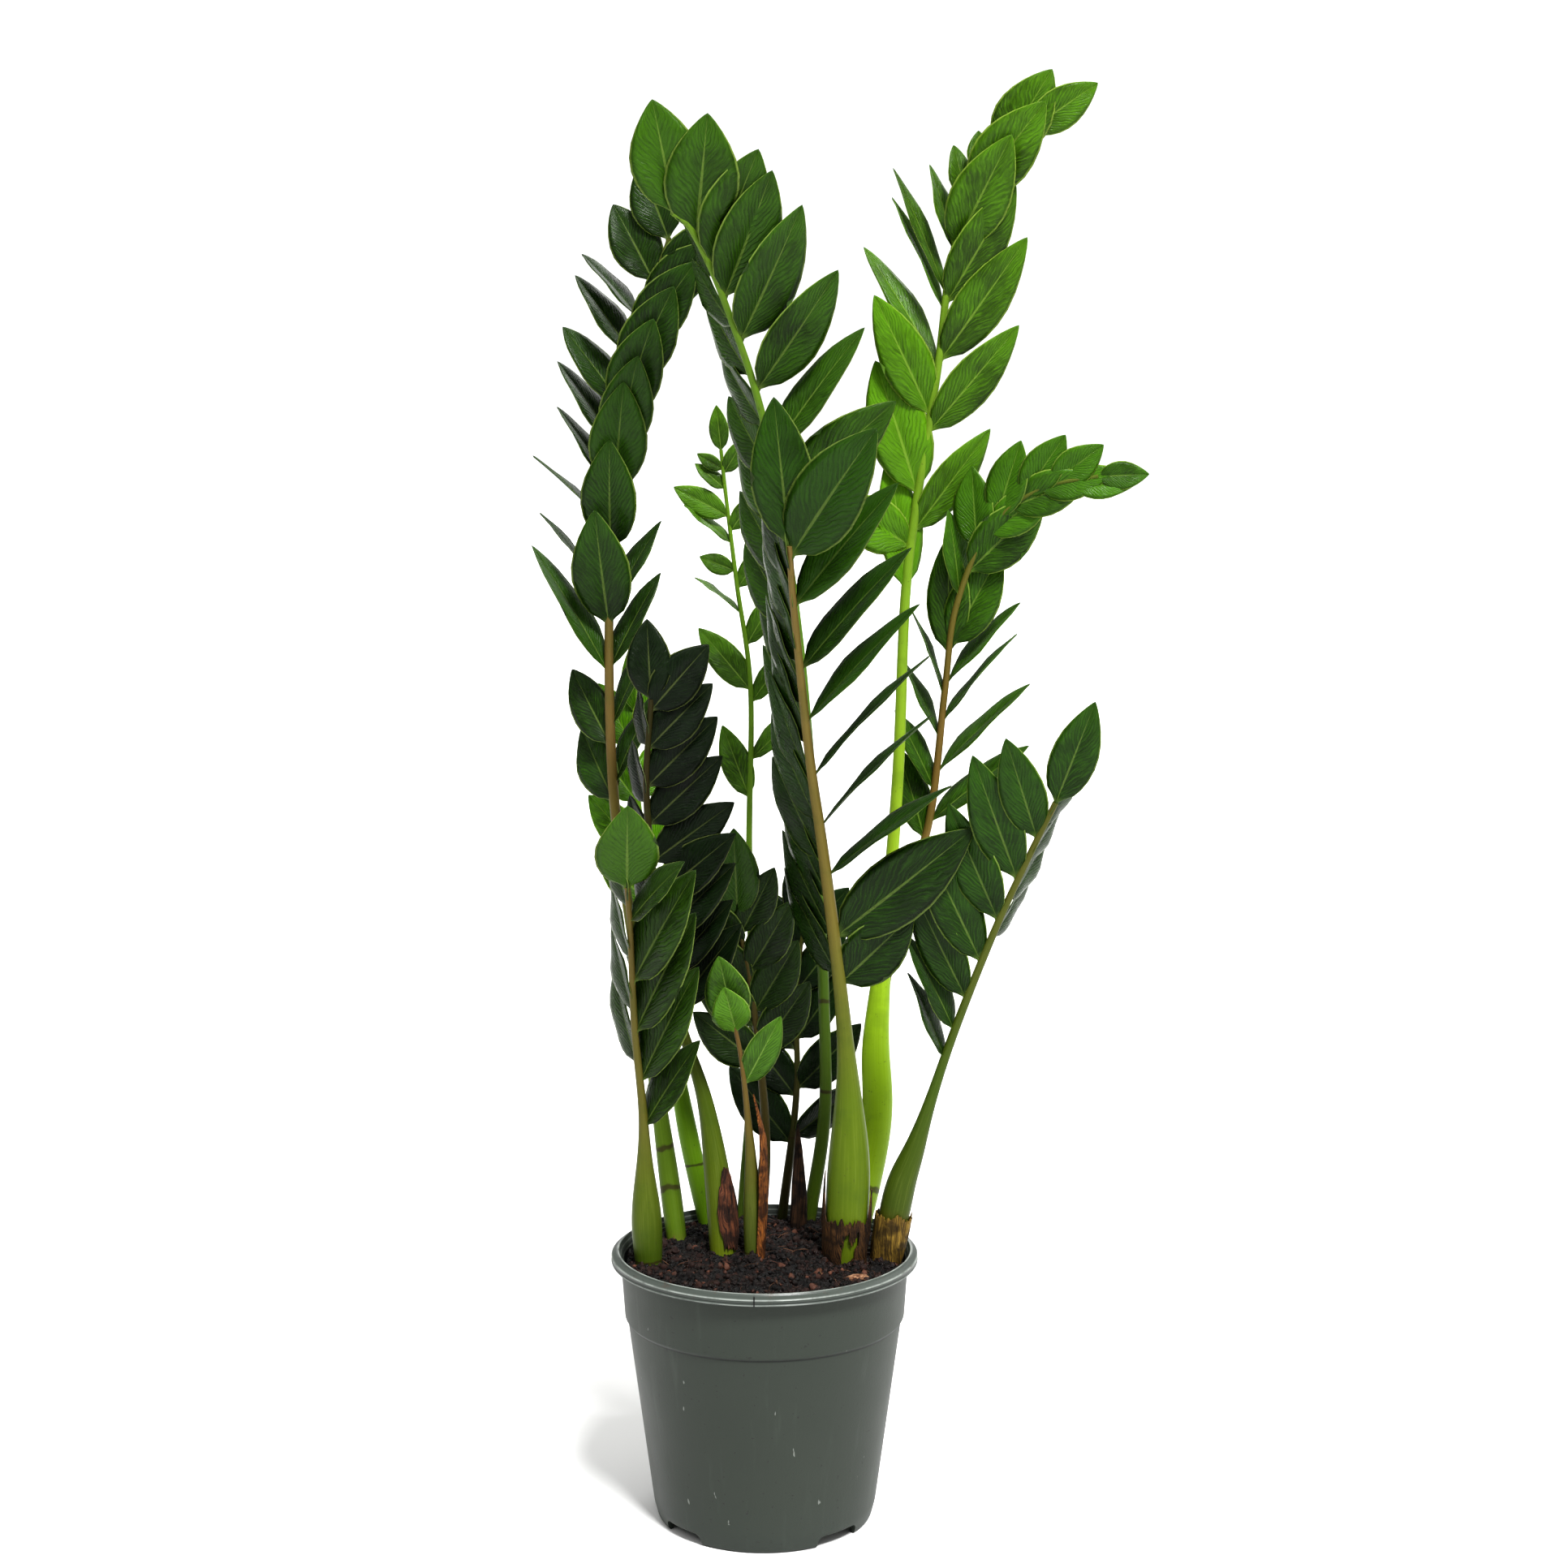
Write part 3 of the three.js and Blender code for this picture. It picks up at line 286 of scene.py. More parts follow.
lip_bottom = POT_HEIGHT - LIP_HEIGHT
floor_top = FLOOR_UNDERSIDE + FLOOR_THICKNESS
skirt = FOOT_RADIUS - 3 * MM
pot_outline = rounded([
    (0, 0, 0),
    (CENTRE_PAD_RADIUS, 0, 0.8 * MM),
    (CENTRE_PAD_RADIUS + 1.5 * MM, FLOOR_UNDERSIDE, 1 * MM),
    (skirt - 1 * MM, FLOOR_UNDERSIDE, 1 * MM),
    (skirt, 0, 0.5 * MM),
    (FOOT_RADIUS - 1 * MM, 0, 0.6 * MM),
    (FOOT_RADIUS + 0.6 * MM, 1.6 * MM, 0.8 * MM),
    (pot_radius(10 * MM), 10 * MM, 2 * MM),
    (pot_radius(LEDGE_HEIGHT - 1.5 * MM), LEDGE_HEIGHT - 1.5 * MM, 0.5 * MM),
    (LEDGE_RADIUS, LEDGE_HEIGHT + 0.5 * MM, 0.7 * MM),
    (BAND_TOP_RADIUS, lip_bottom, 0.6 * MM),
    (LIP_RADIUS - 0.3 * MM, lip_bottom, 0.4 * MM),
    (LIP_RADIUS, lip_bottom + 0.9 * MM, 0.4 * MM),
    (LIP_RADIUS - LIP_GROOVE, lip_bottom + 1.5 * MM, 0.4 * MM),
    (LIP_RADIUS - LIP_GROOVE, POT_HEIGHT - LIP_SLOPE - 0.9 * MM, 0.3 * MM),
    (LIP_RADIUS, POT_HEIGHT - LIP_SLOPE - 0.3 * MM, 0.4 * MM),
    (LIP_RADIUS - 0.7 * MM, POT_HEIGHT - LIP_SLOPE + 0.4 * MM, 0.4 * MM),
    (LIP_TOP_RADIUS + 1.6 * MM, POT_HEIGHT - 1.2 * MM, 0.5 * MM),
    (LIP_TOP_RADIUS + 0.8 * MM, POT_HEIGHT, 0.4 * MM),
    (LIP_TOP_RADIUS, POT_HEIGHT, 0.4 * MM),
    (BAND_TOP_RADIUS - 0.4 * MM, POT_HEIGHT - 4 * MM, 1 * MM),
    (pot_radius(lip_bottom) - WALL, lip_bottom, 1 * MM),
    (LEDGE_RADIUS - WALL, LEDGE_HEIGHT + 0.5 * MM, 0.5 * MM),
    (pot_radius(LEDGE_HEIGHT - 2 * MM) - WALL, LEDGE_HEIGHT - 2 * MM, 0.5 * MM),
    (pot_radius(floor_top + 3 * MM) - WALL, floor_top + 3 * MM, 2 * MM),
    (pot_radius(floor_top) - WALL - 3 * MM, floor_top, 1.5 * MM),
    (0, floor_top, 0),
])
pot = shown("nursery_pot", turned("nursery_pot", pot_outline, POT_SEGMENTS))

# Each notch is a rounded block taken out of the foot ring, and each drain hole is round.
NOTCH_DEPTH = 30 * MM
NOTCH_ROUNDING = 4 * MM
DRAIN_HOLE_DEPTH = 12 * MM
cutters = bmesh.new()
for k in range(NOTCH_COUNT):
    block = bmesh.ops.create_cube(cutters, size=1)["verts"]
    turn = Matrix.Rotation(FIRST_NOTCH + k * 2 * math.pi / NOTCH_COUNT, 4, "Z")
    place = Matrix.Translation((0, -FOOT_RADIUS, NOTCH_HEIGHT / 2 - 1 * MM))
    size = Matrix.Diagonal((NOTCH_WIDTH, NOTCH_DEPTH, NOTCH_HEIGHT + 2 * MM, 1))
    bmesh.ops.transform(cutters, matrix=turn @ place @ size, verts=block)
    own = [e for e in cutters.edges if all(v in block for v in e.verts)]
    top = [e for e in own if min(v.co.z for v in e.verts) > NOTCH_HEIGHT / 2]
    bmesh.ops.bevel(cutters, geom=top, offset=NOTCH_ROUNDING, segments=5, profile=0.5, affect="EDGES")
for k in range(DRAIN_HOLE_COUNT):
    turn = Matrix.Rotation((k + 0.5) * 2 * math.pi / DRAIN_HOLE_COUNT, 4, "Z")
    place = Matrix.Translation((DRAIN_HOLE_CIRCLE, 0, FLOOR_UNDERSIDE))
    bmesh.ops.create_cone(cutters, cap_ends=True, segments=32, radius1=DRAIN_HOLE_RADIUS,
                          radius2=DRAIN_HOLE_RADIUS, depth=DRAIN_HOLE_DEPTH, matrix=turn @ place)
notches = shown("notches", mesh_from("notches", cutters))
cut = pot.modifiers.new("notches", "BOOLEAN")
cut.operation = "DIFFERENCE"
cut.solver = "EXACT"
cut.object = notches
settled(pot)
bpy.data.objects.remove(notches)
# The cut leaves corners that all but touch, and they are made one.
WELD = 0.02 * MM
clean = bmesh.new()
clean.from_mesh(pot.data)
bmesh.ops.remove_doubles(clean, verts=clean.verts, dist=WELD)
bmesh.ops.dissolve_degenerate(clean, edges=clean.edges, dist=WELD)
clean.to_mesh(pot.data)
clean.free()
pot.data.shade_smooth()
pot.data.set_sharp_from_angle(angle=math.radians(38))


def linear(red, green, blue):
    """A colour picked on screen (0 to 255) as the shader's own values."""
    shares = [channel / 255 for channel in (red, green, blue)]
    steps = [s / 12.92 if s <= 0.04045 else ((s + 0.055) / 1.055) ** 2.4 for s in shares]
    return (*steps, 1)


def place_of(shader):
    """Each point's place on its object."""
    return given(shader.id_data, "ShaderNodeTexCoord", output="Object")


def stored(shader, name, output="Fac"):
    """An attribute that the mesh carries."""
    return given(shader.id_data, "ShaderNodeAttribute", output=output, attribute_name=name)


def noise_at(vector, scale, detail=4, roughness=0.55):
    """A noise value on a vector."""
    field = {"Vector": vector, "Scale": scale, "Detail": detail, "Roughness": roughness}
    return given(vector.tree, "ShaderNodeTexNoise", field, "Fac")


def stretched(vector, scale):
    """A vector scaled differently along each axis, for streaks and grain."""
    return given(vector.tree, "ShaderNodeMapping", {"Vector": vector, "Scale": scale})


def mixed(share, a, b):
    """Two colours mixed by a share. A plain colour is given as it is picked on screen."""
    tree = next(value.tree for value in (share, a, b) if isinstance(value, Value))
    a, b = [colour if isinstance(colour, Value) else linear(*colour) for colour in (a, b)]
    return given(tree, "ShaderNodeMix", {0: share, 6: a, 7: b}, 2, data_type="RGBA")


def layered(colour, *coats):
    """A colour with others laid over it in turn, each by its share."""
    for share, coat in coats:
        colour = mixed(share, colour, coat)
    return colour


def feed(shader, name, value):
    """Drives one of a shader's inputs."""
    value.tree.links.new(value.socket, shader.inputs[name])


def raised(shader, height, distance, strength=1.0):
    """Relief from a height value, with its depth in metres."""
    relief = {"Height": height, "Distance": distance, "Strength": strength}
    feed(shader, "Normal", given(height.tree, "ShaderNodeBump", relief))


# Moulded plastic: a dull sheen, faint streaks down the wall, scuffs, and dry peat dust on the lip.
plastic, shader = new_surface("moulded_plastic", 0.5, 0.25)
at = place_of(shader)
height = at.part("Z")
cloud = noise_at(at, 9, 5)
streak = noise_at(stretched(at, (130, 130, 5)), 1, 4)
on_lip = ranged(height, lip_bottom - 0.6 * MM, lip_bottom + 0.2 * MM)
scuff = ranged(noise_at(stretched(at, (1, 1, 0.35)), 260, 2, 0.4), 0.77, 0.8)
grime = ranged(noise_at(at, 330, 2), 0.69, 0.74)
near_foot = ranged(height, 40 * MM, 0, 0, 0.25)
colour = layered(
    mixed(cloud, (39, 45, 39), (53, 58, 52)),
    (ranged(streak, 0.55, 0.8, 0, 0.16), (80, 86, 80)),
    (on_lip * 0.35, (84, 90, 86)),
    (scuff * 0.35, (166, 170, 164)),
    (grime * 0.7, (36, 36, 34)),
    (near_foot, (52, 58, 54)),
)
# Painted highlights: pale lines along the lip's two edges and its rim, broken up by noise.
highlight_breakup = ranged(noise_at(at, 60, 5, 0.7), 0.3, 0.62, 0.25, 1.0)
for line, width in ((lip_bottom + 0.8 * MM, 0.5 * MM), (POT_HEIGHT - LIP_SLOPE, 0.7 * MM),
                    (POT_HEIGHT, 0.5 * MM)):
    painted_highlight = ranged(abs(height - line), width, 0.0) * highlight_breakup
    colour = mixed(painted_highlight * 0.55, colour, (170, 176, 170))
# Painted shade: dark lines under the ledge, in the lip's groove and under the lip.
for line, width in ((LEDGE_HEIGHT - 1.2 * MM, 1.3 * MM), (lip_bottom + 2 * MM, 0.5 * MM),
                    (lip_bottom - 0.3 * MM, 1.6 * MM)):
    colour = mixed(ranged(abs(height - line), width, 0.0, 0, 0.9), colour, (16, 19, 17))
# A short split in the lip, a little left of the front.
SPLIT_PLACE = -5.5 * MM
beside = abs(at.part("X") - SPLIT_PLACE)
split = ranged(beside, 0.6 * MM, 0.3 * MM) * on_lip * ranged(at.part("Y"), -91 * MM, -93 * MM)
dust = ranged(noise_at(at, 150, 6, 0.7), 0.55, 0.7) * ranged(height, lip_bottom, POT_HEIGHT, 0, 0.5)
feed(shader, "Base Color", layered(colour, (split, (8, 9, 8)), (dust, (70, 52, 42))))
dull = ranged(cloud, 0.2, 0.8, 0.42, 0.58)
feed(shader, "Roughness", dull - on_lip * 0.14)
raised(shader, noise_at(at, 700, 3), 0.00012, 0.5)
pot.data.materials.clear()
pot.data.materials.append(plastic)
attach(pot, "root")
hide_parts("pot")

# ---------------------------------------------------------------------------------------------------
# The soil: damp, dark red-brown peat mix, pressed into the pot and a little higher in the middle. Its
# body is one plug with a lumpy surface, and loose crumbs and root fibres lie on it.

SOIL_EDGE_HEIGHT = 162 * MM
SOIL_MOUND = 6 * MM
SOIL_CRUMB = 1.1 * MM
SOIL_LUMPS = [(3.0 * MM, 75), (2.8 * MM, 170), (1.6 * MM, 420)]  # each size's height, and how close
GAP = 0.35 * MM
SOIL_RINGS = 56
SOIL_SEGMENTS = 190


def soil_height(x, y):
    """The soil's surface, without its finer lumps."""
    away = math.hypot(x, y) / BAND_TOP_RADIUS
    u, v = x / MM, y / MM
    waves = math.sin(u * 0.31 + v * 0.12) + math.sin(v * 0.27 - u * 0.17) + math.sin((u + v) * 0.19 + 2)
    return SOIL_EDGE_HEIGHT + SOIL_MOUND * (1 - away ** 2) + SOIL_CRUMB * waves * (1 - away ** 4)


def lumpy(x, y):
    """The soil's surface with its lumps, in three sizes."""
    lumps = [height * noise.noise(Vector((x, y, 0)) * close) for height, close in SOIL_LUMPS]
    return soil_height(x, y) + sum(lumps)


soil_edge = pot_radius(SOIL_EDGE_HEIGHT - LIP_HEIGHT) - WALL - GAP - 1 * MM
soil_foot = floor_top + GAP
outline = [Vector((0, soil_foot)), Vector((pot_radius(soil_foot) - WALL - 5 * MM, soil_foot))]
for height in (soil_foot + 5 * MM, 60 * MM, LEDGE_HEIGHT - 4 * MM, 145 * MM):
    outline.append(Vector((pot_radius(height) - WALL - 1 * MM, height)))
outline += [Vector((soil_edge * k / SOIL_RINGS, SOIL_EDGE_HEIGHT)) for k in range(SOIL_RINGS, -1, -1)]
soil_data = turned("peat", outline, SOIL_SEGMENTS)
for vertex in soil_data.vertices:
    if vertex.co.z > SOIL_EDGE_HEIGHT - 1e-5:
        vertex.co.z = lumpy(vertex.co.x, vertex.co.y)
soil = shown("peat", soil_data)


def field_tree(name, sizes):
    """A Geometry Nodes tree with a named input for each size or material, and what they give."""
    group = bpy.data.node_groups.new(name, "GeometryNodeTree")
    group.interface.new_socket("Geometry", in_out="OUTPUT", socket_type="NodeSocketGeometry")
    for label, kind in [("Geometry", "Geometry"), *sizes]:
        group.interface.new_socket(label, in_out="INPUT", socket_type=f"NodeSocket{kind}")
    sockets = group.nodes.new("NodeGroupInput").outputs
    return group, {socket.name: Value(socket) for socket in sockets if socket.name}


def joined_up(tree, parts):
    """Several geometries as one, smooth and with its instances made real."""
    join = tree.nodes.new("GeometryNodeJoinGeometry")
    for geometry in parts:
        tree.links.new(geometry.socket, join.inputs[0])
    real = given(tree, "GeometryNodeRealizeInstances", {"Geometry": Value(join.outputs[0])})
    return given(tree, "GeometryNodeSetShadeSmooth", {"Geometry": real, "Shade Smooth": True})


def grow(piece, group, values):
    """Runs a tree on a piece, with its inputs set by identifier, and keeps the plain mesh."""
    modifier = piece.modifiers.new(group.name, "NODES")
    modifier.node_group = group
    sockets = {s.name: s.identifier for s in group.interface.items_tree if s.in_out == "INPUT"}
    for label, value in values.items():
        modifier[sockets[label]] = value
    return settled(piece)


def hidden(name, data):
    """An object that only a tree of Geometry Nodes uses."""
    made = shown(name, data)
    made.hide_render = True
    return made


def crumb(name, size, seed, turns):
    """One irregular crumb of peat, from a small ball."""
    mesh = bmesh.new()
    bmesh.ops.create_icosphere(mesh, subdivisions=turns, radius=size)
    for vertex in mesh.verts:
        push = noise.noise(vertex.co / size * 1.3 + Vector((seed, 0, 0)))
        vertex.co *= 1 + 0.75 * push
        vertex.co.z *= 0.8
    return hidden(name, mesh_from(name, mesh))


peat, shader = new_surface("damp_peat", 0.6, 0.3)
at = place_of(shader)
fine = noise_at(at, 420, 8, 0.72)
patch = noise_at(at, 70, 4)
tone = stored(shader, "crumb_tone")
# Painted shade: where the fine relief is low the peat is painted near black, the shade in the crevices
# between its grains.
feed(shader, "Base Color", layered(
    mixed(ranged(fine, 0.42, 0.72), (4, 3, 2), (30, 17, 13)),
    (ranged(tone, 0.5, 1.0, 0, 0.8), (42, 21, 15)),
    (ranged(tone, 0.95, 1.0, 0, 0.8), (104, 66, 50)),
    (ranged(tone, 1.05, 1.3), (112, 80, 56)),
    (ranged(patch, 0.46, 0.62, 0, 0.85), (5, 4, 4)),
))
feed(shader, "Roughness", ranged(noise_at(at, 260, 3), 0.35, 0.65, 0.28, 0.85))
raised(shader, fine, 0.0016, 0.8)

# Crumbs and fibres lie where the surface faces up.
CRUMB_SIZES = [
    ("crumb_small", 0.9 * MM, 1.0, 1),
    ("crumb_round", 1.7 * MM, 7.3, 2),
    ("crumb_long", 1.4 * MM, 4.1, 1),
]
crumbs = [crumb(*sizes) for sizes in CRUMB_SIZES]
fibre_data = bpy.data.meshes.new("fibre")
FIBRE_LENGTH = 9 * MM
FIBRE_RADIUS = 0.14 * MM
FIBRE_BOW = 1.2 * MM
FIBRE_SWAY = 0.8 * MM
FIBRE_STEPS = 6
fibre_points = []
for k in range(FIBRE_STEPS):
    run = k / (FIBRE_STEPS - 1)
    bow = math.sin(run * math.pi) * FIBRE_BOW
    sway = math.sin(run * 5) * FIBRE_SWAY
    around = [(FIBRE_RADIUS * math.cos(a), FIBRE_RADIUS * math.sin(a)) for a in (0, 2.1, 4.2)]
    fibre_points += [(run * FIBRE_LENGTH, sway + across, bow + up) for across, up in around]
fibre_faces = [(3 * k + j, 3 * k + (j + 1) % 3, 3 * k + 3 + (j + 1) % 3, 3 * k + 3 + j)
               for k in range(FIBRE_STEPS - 1) for j in range(3)]
fibre_faces += [(2, 1, 0), (3 * FIBRE_STEPS - 3, 3 * FIBRE_STEPS - 2, 3 * FIBRE_STEPS - 1)]
fibre_data.from_pydata(fibre_points, [], fibre_faces)
fibre = hidden("fibre", fibre_data)

litter, start = field_tree("soil_litter", [
    ("Crumb", "Object"), ("Round Crumb", "Object"), ("Long Crumb", "Object"), ("Fibre", "Object"),
    ("Peat", "Material"), ("Seed", "Int"),
])
place = given(litter, "GeometryNodeInputPosition")
on_top = given(litter, "FunctionNodeCompare", {0: place.part("Z"), 1: SOIL_EDGE_HEIGHT - 3 * MM}, "Result",
               data_type="FLOAT", operation="GREATER_THAN")
strewn = [start["Geometry"]]
# Each kind of litter: its spacing, smallest and largest share of its size, seed, and reach from the middle.
LITTER = [
    ("Crumb", 1.5 * MM, 0.4, 1.6, 2, 84 * MM),
    ("Round Crumb", 4.6 * MM, 0.4, 1.7, 5, 82 * MM),
    ("Long Crumb", 3.0 * MM, 0.4, 1.8, 8, 82 * MM),
    ("Fibre", 5.0 * MM, 0.5, 1.5, 11, 74 * MM),
]
flat_place = given(litter, "ShaderNodeCombineXYZ", {"X": place.part("X"), "Y": place.part("Y")})
from_middle = given(litter, "ShaderNodeVectorMath", {0: flat_place}, "Value", operation="LENGTH")
for label, spacing, smallest, largest, offset, reach in LITTER:
    seed = given(litter, "FunctionNodeIntegerMath", {0: start["Seed"], 1: offset}, operation="ADD")
    within = given(litter, "FunctionNodeCompare", {0: from_middle, 1: reach}, "Result",
                   data_type="FLOAT", operation="LESS_THAN")
    chosen = given(litter, "FunctionNodeBooleanMath", {0: on_top, 1: within}, operation="AND")
    points = given(litter, "GeometryNodeDistributePointsOnFaces", {
        "Mesh": start["Geometry"], "Selection": chosen, "Distance Min": spacing,
        "Density Max": 0.7 / spacing ** 2, "Seed": seed,
    }, "Points", distribute_method="POISSON")
    flat = label == "Fibre"
    spin = given(litter, "FunctionNodeRandomValue", {
        "Min": (-0.5, -0.3, 0) if flat else (0, 0, 0),
        "Max": (0.5, 0.3, 6.28) if flat else (6.28, 6.28, 6.28), "Seed": seed,
    }, data_type="FLOAT_VECTOR")
    grow_by, tone = [
        given(litter, "FunctionNodeRandomValue", {2: low, 3: high, "Seed": seed}, 1, data_type="FLOAT")
        for low, high in ((smallest, largest), (0.0, 1.35 if flat else 1.0))
    ]
    shape = given(litter, "GeometryNodeObjectInfo", {"Object": start[label]}, "Geometry")
    laid = given(litter, "GeometryNodeInstanceOnPoints",
                 {"Points": points, "Instance": shape, "Rotation": spin, "Scale": grow_by})
    strewn.append(given(litter, "GeometryNodeStoreNamedAttribute",
                        {"Geometry": laid, "Name": "crumb_tone", "Value": tone},
                        data_type="FLOAT", domain="INSTANCE"))
dressed = {"Geometry": joined_up(litter, strewn), "Material": start["Peat"]}
put(litter, "NodeGroupOutput", {0: given(litter, "GeometryNodeSetMaterial", dressed)})
grow(soil, litter, {"Crumb": crumbs[0], "Round Crumb": crumbs[1], "Long Crumb": crumbs[2], "Fibre": fibre,
                    "Peat": peat, "Seed": 40})
for used in (*crumbs, fibre):
    bpy.data.objects.remove(used)
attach(soil, "root")
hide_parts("soil")
